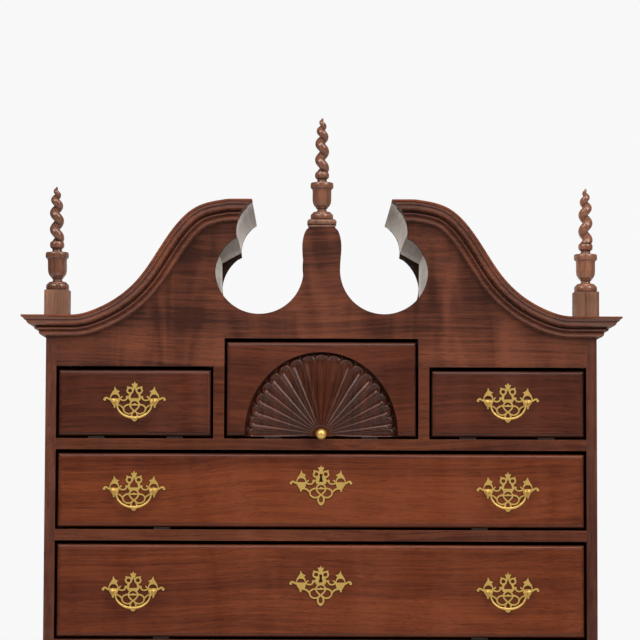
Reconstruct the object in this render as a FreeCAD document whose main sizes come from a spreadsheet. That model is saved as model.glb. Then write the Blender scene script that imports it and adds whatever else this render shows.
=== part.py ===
import FreeCAD, Part
import Sketcher
import math
import os
from FreeCAD import Placement, Rotation, Vector

# A bonnet-top highboy: an upper case of drawers under a broken scroll pediment,
# standing on a lower case with four cabriole legs. Millimetres, +Z up, the front
# faces -Y, and the origin is on the floor under the middle of the piece.

# ---------------------------------------------------------------- driving sizes

SIZES = [
    # the two cases
    ("upper_width", 1020.0, "upper case over its sides"),
    ("upper_depth", 430.0, "upper case, front to back"),
    ("side_thick", 19.5, "upper case side, its front edge is the stile"),
    ("stand_height", 915.0, "floor to the top of the lower case"),
    ("waist_step", 30.0, "lower case proud of the upper case"),
    ("rail_height", 20.5, "drawer blade, seen from the front"),
    ("rail_depth", 60.0, "drawer blade, front to back"),
    ("divider_width", 20.0, "upright between two short drawers"),
    ("back_thick", 13.0, "back boards"),
    ("back_rebate", 9.0, "rebate in the sides for the back boards"),
    ("board_thick", 12.0, "inner boards of soft wood"),
    ("runner_width", 20.0, "drawer runner, across"),
    ("runner_height", 15.0, "drawer runner, tall"),
    ("stop_height", 6.0, "drawer stop on the blade"),
    ("stop_width", 30.0, "drawer stop, across"),
    ("bottom_thick", 20.0, "bottom board of the upper case"),
    ("carcase_gap", 0.3, "clearance between pieces that lift or slide"),
    # drawer openings
    ("centre_width", 359.5, "middle short drawer opening"),
    ("short_height", 133.5, "side short drawer opening, upper case"),
    ("fan_height", 186.0, "carved drawer opening, both cases"),
    ("long_height_1", 147.0, "first long drawer opening"),
    ("long_height_2", 181.0, "second long drawer opening"),
    ("long_height_3", 216.5, "third long drawer opening"),
    ("low_long_height", 103.0, "long drawer opening, lower case"),
    ("low_short_height", 133.0, "side short drawer opening, lower case"),
    # drawers
    ("drawer_length", 400.0, "drawer, front to back"),
    ("drawer_travel", 340.0, "how far a drawer pulls out"),
    ("front_thick", 22.0, "drawer front"),
    ("front_side_gap", 4.2, "shadow gap beside a drawer front"),
    ("front_top_gap", 6.4, "shadow gap above a drawer front"),
    ("front_bottom_gap", 4.3, "shadow gap below a drawer front"),
    ("thumb_radius", 7.4, "quarter round on a drawer front"),
    ("thumb_step", 1.4, "field proud of the quarter round"),
    ("drawer_side_thick", 11.0, "drawer side"),
    ("drawer_back_thick", 11.0, "drawer back"),
    ("drawer_side_drop", 9.0, "drawer side below the top of its opening"),
    ("drawer_bottom_thick", 7.0, "drawer bottom"),
    ("drawer_bottom_lift", 11.6, "drawer bottom above the side's lower edge"),
    ("groove_depth", 5.0, "groove that holds the drawer bottom"),
    ("tail_length", 12.0, "half-blind dovetail in a drawer front"),
    ("tail_pitch", 38.0, "spacing of the dovetails"),
    ("tail_width", 24.0, "dovetail at its wide end"),
    ("tail_slope", 3.0, "how much a dovetail narrows on each edge"),
    # cornice and pediment
    ("cornice_reach", 43.0, "cornice in front of the case"),
    ("cornice_height", 37.5, "cornice moulding, tall"),
    ("cornice_rise", 40.0, "cornice top above the middle drawer opening"),
    ("tympanum_thick", 22.0, "front board of the pediment"),
    ("roof_thick", 8.0, "bonnet roof"),
    ("roof_drop", 2.0, "roof below the top of the gooseneck"),
    ("scroll_rise", 215.0, "scroll above the cornice"),
    ("scroll_end", 129.0, "end of the gooseneck from the middle"),
    ("scroll_flat", 48.0, "level length of the gooseneck at the corner"),
    ("hole_radius", 82.0, "round cut-out in the pediment"),
    ("hole_spacing", 232.0, "between the middles of the two cut-outs"),
    ("hole_rise", 87.5, "middle of a cut-out above the cornice top"),
    ("cusp_reach", 168.0, "cusp of the cut-out from the middle"),
    ("cusp_rise", 143.0, "cusp of the cut-out above the cornice top"),
    ("cusp_drop", 11.5, "inner end of the cusp below the middle of the hollow"),
    ("throat_radius", 61.3, "hollow end of the scroll"),
    ("throat_reach", 98.3, "middle of that hollow from the middle"),
    ("throat_rise", 159.5, "middle of that hollow above the cornice top"),
    ("pedestal_rise", 166.6, "pedestal top above the cornice top"),
    ("pedestal_top", 47.0, "pedestal width at its top"),
    ("pedestal_bulge", 2.4, "swell of the pedestal beyond its waist"),
    ("lining_thick", 8.0, "boards that line the cut-outs"),
    ("lining_lift", 14.0, "joint of the curved and the sloping lining above the cusp"),
    ("lining_fall", 22.4, "fall of the sloping lining board"),
    # plinths and finials
    ("plinth_width", 45.0, "square corner plinth"),
    ("plinth_height", 45.8, "corner plinth, tall"),
    ("cap_width", 54.4, "cap of the middle pedestal"),
    ("cap_torus", 10.8, "upper round of that cap, tall"),
    ("cap_bead", 5.2, "lower bead of that cap, tall"),
    ("post_depth", 30.0, "post behind the middle pedestal"),
    ("finial_height", 192.5, "finial with its flame"),
    ("finial_base", 21.5, "radius of the finial's foot"),
    ("urn_radius", 17.8, "body of the urn"),
    ("urn_rim", 21.8, "rim of the urn"),
    ("flame_start", 91.6, "foot of the flame above the finial's foot"),
    ("flame_neck", 8.7, "radius of the neck below the flame"),
    ("flame_ridge", 12.1, "ridge of the flame from its axis"),
    ("flame_groove", 4.2, "groove of the flame from its axis"),
    ("flame_turns", 4.4, "turns of the flame"),
    ("dowel_radius", 6.0, "dowel under a finial"),
    ("dowel_length", 24.0, "dowel under a finial"),
    ("dowel_gap", 0.05, "clearance round the dowel"),
    # carved fan
    ("fan_radius", 142.0, "half width of the carved fan's recess"),
    ("fan_tall", 152.5, "top of that recess above the fan's middle"),
    ("fan_depth", 9.0, "depth of that recess"),
    ("fan_rise", 4.0, "middle of the fan above the drawer front's edge"),
    ("lobe_reach", 134.5, "outer end of the level lobes"),
    ("lobe_tall", 148.0, "outer end of the upright lobe"),
    ("lobe_count", 19.0, "lobes of the fan"),
    ("lobe_inset", 2.6, "lobes below the drawer's face"),
    ("flute_depth", 3.6, "hollow of a lobe at its outer end"),
    ("hub_radius", 20.5, "half-round hub of the fan"),
    # waist moulding and lower case
    ("waist_height", 30.0, "waist moulding, tall"),
    ("waist_lip", 6.0, "waist moulding proud of the lower case"),
    ("post_size", 44.0, "corner post of the lower case"),
    ("post_foot", 515.0, "lower end of the square post"),
    ("low_side_thick", 20.0, "lower case side board"),
    ("low_back_thick", 15.0, "lower case back board"),
    ("apron_thick", 20.0, "shaped front apron"),
    ("apron_low", 548.0, "apron's lower edge beside the legs"),
    ("apron_arch", 598.0, "top of the apron's side arches"),
    ("apron_lobe", 520.0, "lowest point of the apron's lobes"),
    ("apron_middle", 549.0, "apron's lower edge in the middle"),
    ("side_arch", 50.0, "hollow in the lower edge of the sides"),
    ("pendant_radius", 15.0, "turned drop under the apron"),
    ("foot_radius", 40.0, "pad foot"),
    ("disc_radius", 30.0, "disc under the pad foot"),
    ("disc_height", 9.0, "disc under the pad foot, tall"),
    ("ankle_radius", 17.0, "ankle of the leg"),
    ("ankle_level", 85.0, "ankle above the floor"),
    ("knee_radius", 39.0, "knee of the leg"),
    ("knee_level", 458.0, "fullest point of the knee"),
    ("leg_sway", 4.0, "knee and foot outside the post's axis"),
    ("block_width", 52.0, "knee block, along the apron"),
    ("block_height", 58.0, "knee block, tall"),
    ("block_thick", 28.0, "knee block, front to back"),
    # brasses
    ("pull_spacing", 76.2, "between the two posts of a pull"),
    ("pull_inset", 145.5, "pull from the end of a long opening"),
    ("plate_thick", 1.8, "pierced plate"),
    ("bolt_radius", 2.5, "shank of a post"),
    ("bolt_gap", 0.1, "clearance round the shank"),
    ("post_ball", 3.8, "ball head of a post"),
    ("post_reach", 8.5, "bail's axis in front of the plate"),
    ("nut_width", 10.0, "square nut"),
    ("nut_thick", 4.0, "square nut"),
    ("knob_nut", 6.2, "small square nut of the knob"),
    ("bail_width", 63.0, "between the middles of a bail's arms"),
    ("bail_drop", 31.0, "bail below its axis"),
    ("bail_wire", 1.75, "radius of a bail at its ends"),
    ("bail_middle", 2.25, "radius of a bail at its middle"),
    ("pin_radius", 1.4, "pin on a bail's end"),
    ("pin_gap", 0.06, "clearance round that pin"),
    ("knob_radius", 9.5, "ball knob of the carved drawer"),
    ("knob_reach", 17.0, "knob's middle in front of the fan's hub"),
    ("pull_lift", 3.3, "pull above the middle of a short drawer's front"),
    ("long_pull_lift", -0.7, "pull above the middle of a long drawer's front"),
    ("key_lift", 11.4, "escutcheon above the pulls beside it"),
    ("low_key_lift", 4.0, "escutcheon above the pulls of the shallow drawer"),
    ("lock_width", 56.0, "lock case"),
    ("lock_height", 40.0, "lock case, tall"),
    ("lock_thick", 11.0, "lock case, front to back"),
]

doc = FreeCAD.newDocument("highboy")
sheet = doc.addObject("Spreadsheet::Sheet", "Sizes")
for row, (alias, value, note) in enumerate(SIZES, start=1):
    sheet.set("A%d" % row, note)
    sheet.set("B%d" % row, str(value))
    sheet.setAlias("B%d" % row, alias)
doc.recompute()


class Size:
    """A length that knows its value and the spreadsheet formula it comes from."""

    def __init__(self, value, text):
        self.value = float(value)
        self.text = text

    @staticmethod
    def of(other):
        if isinstance(other, Size):
            return other
        return Size(other, repr(float(other)))

    def join(self, sign, other, value):
        return Size(value, "(%s %s %s)" % (self.text, sign, other.text))

    def __add__(self, other):
        other = Size.of(other)
        return self.join("+", other, self.value + other.value)

    def __sub__(self, other):
        other = Size.of(other)
        return self.join("-", other, self.value - other.value)

    def __mul__(self, other):
        other = Size.of(other)
        return self.join("*", other, self.value * other.value)

    def __truediv__(self, other):
        other = Size.of(other)
        return self.join("/", other, self.value / other.value)

    def __neg__(self):
        return Size(-self.value, "(0 - %s)" % self.text)

    def __radd__(self, other):
        return Size.of(other) + self

    def __rsub__(self, other):
        return Size.of(other) - self

    def __rmul__(self, other):
        return Size.of(other) * self

    def __float__(self):
        return self.value


class Dimensions:
    """The spreadsheet's cells as attributes."""

    def __init__(self, cells):
        for name, _, _ in cells:
            setattr(self, name, Size(cells_value(name), "Sizes.%s" % name))


def cells_value(name):
    return float(sheet.get(name))


dim = Dimensions(SIZES)
nodes = {}


# ------------------------------------------------------------ levels and planes

# Planes across the piece, front to back. Both cases share their back plane.
low_depth = dim.upper_depth + dim.waist_step
back = low_depth / 2
low_front = -low_depth / 2
front = low_front + dim.waist_step
case_half = dim.upper_width / 2
low_half = case_half + dim.waist_step
inner_half = case_half - dim.side_thick
low_inner = low_half - dim.post_size
centre_half = dim.centre_width / 2
divider_out = centre_half + dim.divider_width

# Levels of the upper case, from its bottom up.
waist_top = dim.stand_height + dim.waist_height
long_3 = waist_top + dim.rail_height
long_2 = long_3 + dim.long_height_3 + dim.rail_height
long_1 = long_2 + dim.long_height_2 + dim.rail_height
row_level = long_1 + dim.long_height_1 + dim.rail_height
short_top = row_level + dim.short_height
centre_top = row_level + dim.fan_height
cornice_top = centre_top + dim.cornice_rise
cornice_low = cornice_top - dim.cornice_height
board_low = centre_top + (cornice_low - centre_top) * 0.9
roof_low = cornice_top - dim.roof_drop - dim.roof_thick

# Levels of the lower case, from its top down.
low_long = dim.stand_height - dim.rail_height - dim.low_long_height
low_row_top = low_long - dim.rail_height
low_short = low_row_top - dim.low_short_height
low_centre = low_row_top - dim.fan_height


# ------------------------------------------------------------- building helpers

def bind(obj, prop, length):
    length = Size.of(length)
    obj.setExpression(prop, length.text)


def place(obj, x, y, z):
    bind(obj, "Placement.Base.x", x)
    bind(obj, "Placement.Base.y", y)
    bind(obj, "Placement.Base.z", z)


def board(name, x, y, z):
    """A sawn board between two planes on each axis."""
    box = doc.addObject("Part::Box", name)
    bind(box, "Length", Size.of(x[1]) - x[0])
    bind(box, "Width", Size.of(y[1]) - y[0])
    bind(box, "Height", Size.of(z[1]) - z[0])
    place(box, x[0], y[0], z[0])
    return box


def upright_rod(name, radius, height, x, y, z):
    rod = doc.addObject("Part::Cylinder", name)
    bind(rod, "Radius", radius)
    bind(rod, "Height", height)
    place(rod, x, y, z)
    return rod


def shaped(name, shape):
    """A piece whose form is worked out from the sheet in code."""
    feature = doc.addObject("Part::Feature", name)
    feature.Shape = shape
    return feature


def group(name, parts):
    bundle = doc.addObject("Part::Compound", name)
    bundle.Links = parts
    return bundle


def cut(name, base, tools):
    tool = tools[0] if len(tools) == 1 else group(name + "_tools", tools)
    result = doc.addObject("Part::Cut", name)
    result.Base = base
    result.Tool = tool
    return result


def fuse(name, parts):
    result = doc.addObject("Part::MultiFuse", name)
    result.Shapes = parts
    return result


def mirrored(name, source):
    """The same piece for the other side of the middle plane."""
    twin = doc.addObject("Part::Mirroring", name)
    twin.Source = source
    twin.Base = Vector(0, 0, 0)
    twin.Normal = Vector(1, 0, 0)
    return twin


def both_sides(name, source):
    return [source, mirrored(name + "_right", source)]


def node(name, parts):
    """Registers a finished sub-part under the name of its file."""
    result = parts[0] if len(parts) == 1 else group(name + "_set", parts)
    result.Label = name
    nodes[name] = result
    return result


def at(x, z, y=0.0):
    return Vector(float(x), float(y), float(z))


def line(start, end):
    return Part.LineSegment(start, end).toShape()


def arc(start, middle, end):
    return Part.Arc(start, middle, end).toShape()


def spline(points, first=None, last=None):
    curve = Part.BSplineCurve()
    if first is None:
        curve.interpolate(points)
    else:
        curve.interpolate(points, InitialTangent=first, FinalTangent=last)
    return curve


def prism(edges, y_from, y_to):
    """Closed outline in the front view, given a thickness along Y."""
    wire = Part.Wire(Part.__sortEdges__(edges))
    wire.translate(Vector(0, float(y_from), 0))
    return Part.Face(wire).extrude(Vector(0, float(y_to) - float(y_from), 0))


def turned(runs, centre):
    """Solid of revolution about the upright axis through centre.

    Each run is a list of (radius, height) points from the foot upwards. A run of two
    points is straight, a longer one is a smooth curve, and each starts where the last ends.
    """
    edges = []
    for run in runs:
        points = [at(radius, height) for radius, height in run]
        edges.append(line(*points) if len(points) == 2 else spline(points).toShape())
    foot, top = runs[0][0], runs[-1][-1]
    edges.append(line(at(0, foot[1]), at(*foot)))
    edges.append(line(at(*top), at(0, top[1])))
    edges.append(line(at(0, foot[1]), at(0, top[1])))
    face = Part.Face(Part.Wire(Part.__sortEdges__(edges)))
    solid = face.revolve(Vector(0, 0, 0), Vector(0, 0, 1), 360)
    solid.translate(centre)
    return solid


# --------------------------------------------------------------- upper carcase

def upper_side(name):
    """Solid side board with a rebate for the back boards."""
    slab = board(name + "_board", (-case_half, -inner_half), (front, back), (dim.stand_height, roof_low))
    rebate = board(
        name + "_rebate",
        (-inner_half - dim.back_rebate, -inner_half),
        (back - dim.back_thick, back),
        (dim.stand_height, roof_low),
    )
    return cut(name, slab, [rebate])


def upper_boards():
    """Bottom board, and the top board that closes the case under the bonnet."""
    across = (-inner_half, inner_half)
    floor = board(
        "case_floor",
        across,
        (front + dim.rail_depth, back - dim.back_thick),
        (dim.stand_height, dim.stand_height + dim.bottom_thick),
    )
    top = board(
        "case_top",
        across,
        (front + dim.tympanum_thick, back - dim.back_thick),
        (board_low, board_low + dim.board_thick),
    )
    return [floor, top]


def upper_blades():
    """Rails between the drawers, and the two uprights in the top row."""
    across = (-inner_half, inner_half)
    deep = (front, front + dim.rail_depth)
    levels = [long_3, long_2, long_1, row_level]
    parts = []
    for index, level in enumerate(levels):
        foot = dim.stand_height if index == 0 else level - dim.rail_height
        parts.append(board("blade_%d" % index, across, deep, (foot, level)))
    upright = board("upright", (-divider_out, -centre_half), deep, (row_level, short_top))
    return parts + both_sides("upright", upright)


def runner_pair(name, level, reach, width, y_from, y_to):
    """A runner against each side of the case, its top at the drawer's level."""
    strip = board(
        name, (-reach, -(reach - width)), (y_from, y_to), (level - dim.runner_height, level)
    )
    return both_sides(name, strip)


def stop_pair(name, level, middle, offset, plane):
    """Two small blocks behind a closed drawer front."""
    y_from = plane + dim.front_thick + dim.carcase_gap
    parts = []
    for side, sign in (("a", -1), ("b", 1)):
        x = middle + offset * sign
        parts.append(
            board(
                "%s_%s" % (name, side),
                (x - dim.stop_width / 2, x + dim.stop_width / 2),
                (y_from, y_from + dim.stop_width / 2),
                (level, level + dim.stop_height),
            )
        )
    return parts


def upper_runners():
    """Runners, partitions, tilt strips and drawer stops of soft wood."""
    y_from = front + dim.rail_depth
    y_to = back - dim.back_thick
    parts = []
    for index, level in enumerate((long_3, long_2, long_1, row_level)):
        parts += runner_pair("runner_%d" % index, level, inner_half, dim.runner_width, y_from, y_to)
        if index < 3:
            parts += stop_pair("stop_%d" % index, level, Size.of(0), inner_half * 0.6, front)
    middle_runner = board(
        "row_runner",
        (-divider_out - dim.runner_width, -centre_half + dim.runner_width),
        (y_from, y_to),
        (row_level - dim.runner_height, row_level),
    )
    partition = board("partition", (-divider_out, -centre_half), (y_from, y_to), (row_level, board_low))
    tilt_side = board(
        "tilt_side",
        (-inner_half, -inner_half + dim.runner_width),
        (front + dim.tympanum_thick, y_to),
        (short_top, short_top + dim.runner_height),
    )
    tilt_middle = board(
        "tilt_middle",
        (-divider_out - dim.runner_width, -divider_out),
        (front + dim.tympanum_thick, y_to),
        (short_top, short_top + dim.runner_height),
    )
    for name, part in (
        ("row_runner", middle_runner),
        ("partition", partition),
        ("tilt_side", tilt_side),
        ("tilt_middle", tilt_middle),
    ):
        parts += both_sides(name, part)
    short_middle = (inner_half + divider_out) / 2
    stop_offset = (inner_half - divider_out) / 4
    parts += stop_pair("stop_left", row_level, -short_middle, stop_offset, front)
    parts += stop_pair("stop_right", row_level, short_middle, stop_offset, front)
    parts += stop_pair("stop_centre", row_level, Size.of(0), centre_half / 2, front)
    return parts


# ------------------------------------------------------------ scrolled pediment

# The gooseneck's run and rise as shares of the whole, from the cornice to the scroll.
SCROLL_SHAPE = [
    (0.0, 0.0),
    (0.126, 0.042),
    (0.246, 0.138),
    (0.366, 0.299),
    (0.486, 0.566),
    (0.606, 0.823),
    (0.726, 0.953),
    (0.847, 0.995),
    (1.0, 1.0),
]


def scroll_curve(lowered=0.0, count=17):
    """The gooseneck's top line on the left, moved square to itself by lowered."""
    start = -float(case_half - dim.scroll_flat)
    run = float(case_half - dim.scroll_flat - dim.scroll_end)
    rise = float(dim.scroll_rise)
    base = float(cornice_top)
    points = [at(start + run * share, base + rise * height) for share, height in SCROLL_SHAPE]
    level = Vector(run, 0, 0)
    top = spline(points, level, level)
    if lowered == 0.0:
        return top
    moved = []
    for index in range(count):
        parameter = top.FirstParameter + (top.LastParameter - top.FirstParameter) * index / (count - 1)
        tangent = top.tangent(parameter)[0]
        square = Vector(tangent.z, 0, -tangent.x)
        moved.append(top.value(parameter) + square * lowered)
    return spline(moved, level, level)


def hollow_spot(radius, turn):
    """Point on or outside the hollow end of the left scroll."""
    x = -float(dim.throat_reach) + radius * math.cos(turn)
    z = float(cornice_top + dim.throat_rise) + radius * math.sin(turn)
    return at(x, z)


def cusp_turn():
    """Where the hollow ends at the cusp, as an angle about the hollow's middle."""
    return math.pi + math.asin(float(dim.cusp_drop) / float(dim.throat_radius))


def bonnet_opening():
    """Everything that the two cut-outs take away, from above the scrolls down."""
    base = float(cornice_top)
    radius = float(dim.hole_radius)
    centre = at(-dim.hole_spacing / 2, base + float(dim.hole_rise))
    hollow = float(dim.throat_radius)
    high = base + float(dim.scroll_rise) + 2 * float(dim.cornice_height)
    cusp = at(-float(dim.cusp_reach), base + float(dim.cusp_rise))
    outermost = at(centre.x - radius, centre.z)
    shoulder = outermost + at((cusp.x - outermost.x) * 0.34, (cusp.z - outermost.z) * 0.58)
    top_hollow = hollow_spot(hollow, math.pi / 2)
    low_hollow = hollow_spot(hollow, cusp_turn())
    waist = at(centre.x + radius, centre.z)
    low_circle = at(centre.x, centre.z - radius)
    pedestal_top = at(-dim.pedestal_top / 2, base + float(dim.pedestal_rise))
    rise = pedestal_top.z - waist.z
    swell = waist.x - float(dim.pedestal_bulge)
    neck = [at(swell, waist.z + 0.54 * rise), at(swell * 0.945, waist.z + 0.77 * rise), pedestal_top]
    left = [
        line(at(top_hollow.x, high), top_hollow),
        arc(top_hollow, hollow_spot(hollow, (math.pi / 2 + cusp_turn()) / 2), low_hollow),
        line(low_hollow, cusp),
        arc(cusp, shoulder, outermost),
        arc(outermost, low_circle, waist),
        spline([waist] + neck, Vector(0, 0, rise), Vector(rise, 0, 0.4 * rise)).toShape(),
    ]
    right = [edge.mirror(Vector(0, 0, 0), Vector(1, 0, 0)) for edge in left]
    across = [
        line(pedestal_top, at(-pedestal_top.x, pedestal_top.z)),
        line(at(top_hollow.x, high), at(-top_hollow.x, high)),
    ]
    reach = float(dim.cornice_reach)
    return prism(left + right + across, float(front) - 2 * reach, float(back) + reach)


def pediment_board(y_from, y_to, half, notch_half, foot, notch_top):
    """Board under both scrolls, with the notch for the middle drawer if it has one."""
    edge = scroll_curve(float(dim.roof_drop + dim.roof_thick)).toShape()
    start = edge.Vertexes[0].Point
    end = edge.Vertexes[-1].Point
    left = [
        line(at(-float(half), foot), at(-float(half), start.z)),
        line(at(-float(half), start.z), start),
        edge,
        line(end, at(0, end.z)),
    ]
    if notch_half:
        notch = -float(notch_half)
        left += [
            line(at(-float(half), foot), at(notch, foot)),
            line(at(notch, foot), at(notch, notch_top)),
            line(at(notch, notch_top), at(0, notch_top)),
        ]
    else:
        left.append(line(at(-float(half), foot), at(0, foot)))
    right = [side.mirror(Vector(0, 0, 0), Vector(1, 0, 0)) for side in left]
    return prism(left + right, y_from, y_to)


def cornice_profile():
    """Section of the cornice: (out from the case, down from the top) edges."""
    reach = float(dim.cornice_reach)
    tall = float(dim.cornice_height)

    def spot(out, down):
        return Vector(0, -out * reach / 43.0, -down * tall / 37.5)

    corners = [
        ("line", spot(0, 0), spot(43, 0)),
        ("line", spot(43, 0), spot(43, 3.4)),
        ("arc", spot(43, 3.4), spot(40, 5), spot(37.8, 8.4)),
        ("line", spot(37.8, 8.4), spot(34, 8.4)),
        ("line", spot(34, 8.4), spot(34, 10)),
        ("arc", spot(34, 10), spot(31.4, 15), spot(24.4, 18)),
        ("line", spot(24.4, 18), spot(17, 18.4)),
        ("line", spot(17, 18.4), spot(17, 20.6)),
        ("line", spot(17, 20.6), spot(18.4, 21)),
        ("arc", spot(18.4, 21), spot(20.2, 23.4), spot(17.6, 25.4)),
        ("line", spot(17.6, 25.4), spot(12, 25.4)),
        ("line", spot(12, 25.4), spot(12, 27.4)),
        ("arc", spot(12, 27.4), spot(11.8, 33), spot(6, 36.4)),
        ("line", spot(6, 36.4), spot(2.5, 36.4)),
        ("line", spot(2.5, 36.4), spot(2.5, 37.5)),
        ("line", spot(2.5, 37.5), spot(0, 37.5)),
        ("line", spot(0, 37.5), spot(0, 0)),
    ]
    edges = [arc(*item[1:]) if item[0] == "arc" else line(*item[1:]) for item in corners]
    return Part.Wire(edges)


def corner_wedge(sign, reach_out):
    """Block in plan on one side of the mitre at the front left corner.

    sign +1 keeps what lies along the front, -1 what lies along the side.
    """
    corner = at(-case_half, 0, float(front))
    far = float(case_half)
    out = corner + Vector(-reach_out, -reach_out, 0)
    inside = corner + Vector(far, far, 0)
    if sign > 0:
        third = Vector(inside.x, out.y, 0)
    else:
        third = Vector(out.x, inside.y, 0)
    low = Vector(0, 0, float(cornice_low) - reach_out)
    points = [out + low, inside + low, third + low]
    face = Part.Face(Part.makePolygon(points + [points[0]]))
    return face.extrude(Vector(0, 0, float(dim.scroll_rise) + 4 * reach_out))


def gooseneck_shape(opening):
    """Moulding that runs level at the corner and sweeps up to the scroll."""
    reach = float(dim.cornice_reach)
    curve = scroll_curve().toShape()
    start = curve.Vertexes[0].Point
    corner = at(-float(case_half) - 2 * reach, start.z)
    path = Part.Wire([line(corner, start), curve])
    profile = cornice_profile()
    profile.translate(corner)
    path.translate(Vector(0, float(front), 0))
    profile.translate(Vector(0, float(front), 0))
    swept = path.makePipeShell([profile], True, False)
    mitred = swept.common(corner_wedge(1, 2 * reach))
    return mitred.cut(opening)


def cornice_return_shape():
    """Level moulding along the left side, mitred into the front."""
    reach = float(dim.cornice_reach)
    profile = cornice_profile()
    profile.rotate(Vector(0, 0, 0), Vector(0, 0, 1), -90)
    profile.translate(at(-case_half, cornice_top, float(front) - 2 * reach))
    long_piece = Part.Face(profile).extrude(Vector(0, float(dim.upper_depth) + 2 * reach, 0))
    return long_piece.common(corner_wedge(-1, 2 * reach))


def roof_shape(opening):
    """Thin roof over one scroll, from the front board to the back."""
    drop = float(dim.roof_drop)
    over = scroll_curve(drop).toShape()
    under = scroll_curve(drop + float(dim.roof_thick)).toShape()
    edge_x = -float(case_half)
    over_start, over_end = over.Vertexes[0].Point, over.Vertexes[-1].Point
    under_start, under_end = under.Vertexes[0].Point, under.Vertexes[-1].Point
    outline = [
        line(at(edge_x, over_start.z), over_start),
        over,
        line(over_end, under_end),
        under,
        line(under_start, at(edge_x, under_start.z)),
        line(at(edge_x, under_start.z), at(edge_x, over_start.z)),
    ]
    return prism(outline, front, back).cut(opening)


def lining_shapes(roof):
    """The three boards that line one cut-out behind the front board."""
    y_from = float(front + dim.tympanum_thick)
    y_to = float(back - dim.back_thick)
    thick = float(dim.lining_thick)
    hollow = float(dim.throat_radius)
    outer = hollow + thick
    under_roof = float(dim.scroll_rise - dim.roof_drop - dim.roof_thick / 2 - dim.throat_rise)
    joint_rise = float(dim.cusp_rise + dim.lining_lift - dim.throat_rise)
    low_turn, high_turn = math.pi - math.asin(joint_rise / hollow), math.pi - math.asin(under_roof / hollow)
    middle = (low_turn + high_turn) / 2
    high_inner, high_outer = hollow_spot(hollow, high_turn), hollow_spot(outer, high_turn)
    low_inner_end, low_outer_end = hollow_spot(hollow, low_turn), hollow_spot(outer, low_turn)
    ring = prism(
        [
            arc(high_inner, hollow_spot(hollow, middle), low_inner_end),
            line(low_inner_end, low_outer_end),
            arc(low_outer_end, hollow_spot(outer, middle), high_outer),
            line(high_outer, high_inner),
        ],
        y_from,
        y_to,
    )
    curved = max(ring.cut(roof).Solids, key=lambda solid: solid.Volume)
    wall_x = -float(dim.hole_spacing / 2 + dim.hole_radius)
    slope_end = low_inner_end.z - float(dim.lining_fall)
    corners = [
        low_inner_end,
        low_outer_end,
        at(wall_x - thick, slope_end + thick),
        at(wall_x - thick, slope_end),
        at(wall_x, slope_end),
    ]
    sloping = prism([line(corners[i - 1], corners[i]) for i in range(len(corners))], y_from, y_to)
    foot = float(board_low + dim.board_thick)
    wall = Part.makeBox(thick, y_to - y_from, slope_end - foot, Vector(wall_x - thick, y_from, foot))
    return Part.makeCompound([curved, sloping, wall])


def back_boards(opening):
    """Three wide boards behind the drawers and the cut board behind the bonnet."""
    half = inner_half + dim.back_rebate
    thick = (back - dim.back_thick, back)
    levels = [dim.stand_height, long_2, row_level, board_low]
    parts = []
    for index in range(3):
        parts.append(board("back_%d" % index, (-half, half), thick, (levels[index], levels[index + 1])))
    rear = pediment_board(back - dim.back_thick, back, half, None, float(board_low), None)
    parts.append(shaped("bonnet_back", rear.cut(opening)))
    return parts


# --------------------------------------------------------- plinths and finials

cap_height = dim.cap_torus + dim.cap_bead


def side_plinth_centre():
    x = -(case_half - dim.plinth_width / 2)
    y = front - dim.cornice_reach + dim.plinth_width / 2
    return x, y, cornice_top


def middle_plinth_centre():
    y = front + (dim.tympanum_thick + dim.post_depth) / 2
    return Size.of(0), y, cornice_top + dim.pedestal_rise


def socket(name, x, y, top):
    """Hole for a finial's dowel, open at the top."""
    depth = dim.dowel_length + dim.dowel_gap
    return upright_rod(name, dim.dowel_radius + dim.dowel_gap, depth, x, y, top - depth)


def pedestal_cap_shape():
    """Square cap with a full round above a bead, run along all four edges."""
    half = float(dim.cap_width) / 2
    torus = float(dim.cap_torus) / 2
    bead = float(dim.cap_bead) / 2
    step = 2.0
    layers = []
    for foot, radius, reach in ((0, bead, half - step), (2 * bead, torus, half)):
        flat = reach - radius
        core = Part.makeBox(2 * flat, 2 * flat, 2 * radius, Vector(-flat, -flat, foot))
        rods = []
        for turn in range(4):
            rod = Part.makeCylinder(radius, 2 * flat, Vector(-flat, -flat, foot + radius), Vector(1, 0, 0))
            corner = Part.makeSphere(radius, Vector(-flat, -flat, foot + radius))
            for piece in (rod, corner):
                piece.rotate(Vector(0, 0, 0), Vector(0, 0, 1), 90 * turn)
                rods.append(piece)
        layers.append(core.fuse(rods))
    return layers[0].fuse(layers[1]).removeSplitter()


def plinths():
    """Two square corner plinths, the middle cap, and the post that carries it."""
    half = dim.plinth_width / 2
    x, y, z = side_plinth_centre()
    block = board("plinth_block", (x - half, x + half), (y - half, y + half), (z, z + dim.plinth_height))
    corner = cut("plinth", block, [socket("plinth_socket", x, y, z + dim.plinth_height)])
    x, y, z = middle_plinth_centre()
    cap_top = z + cap_height
    blank = shaped("cap_block", pedestal_cap_shape())
    place(blank, x, y, z)
    cap = cut("pedestal_cap", blank, [socket("cap_socket", x, y, cap_top)])
    post_half = dim.pedestal_top / 2 - 3
    post = board(
        "pedestal_post",
        (x - post_half, x + post_half),
        (front + dim.tympanum_thick, front + dim.tympanum_thick + dim.post_depth),
        (board_low + dim.board_thick, z),
    )
    drilled = cut("drilled_post", post, [socket("post_socket", x, y, cap_top)])
    return both_sides("plinth", corner) + [cap, drilled]


def front_board(opening):
    """The tympanum, drilled where the middle finial's dowel passes behind its edge."""
    shape = pediment_board(
        front, front + dim.tympanum_thick, inner_half, centre_half, float(short_top), float(centre_top)
    ).cut(opening)
    blank = shaped("tympanum_board", shape)
    x, y, z = middle_plinth_centre()
    return cut("tympanum_drilled", blank, [socket("tympanum_socket", x, y, z + cap_height)])


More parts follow.
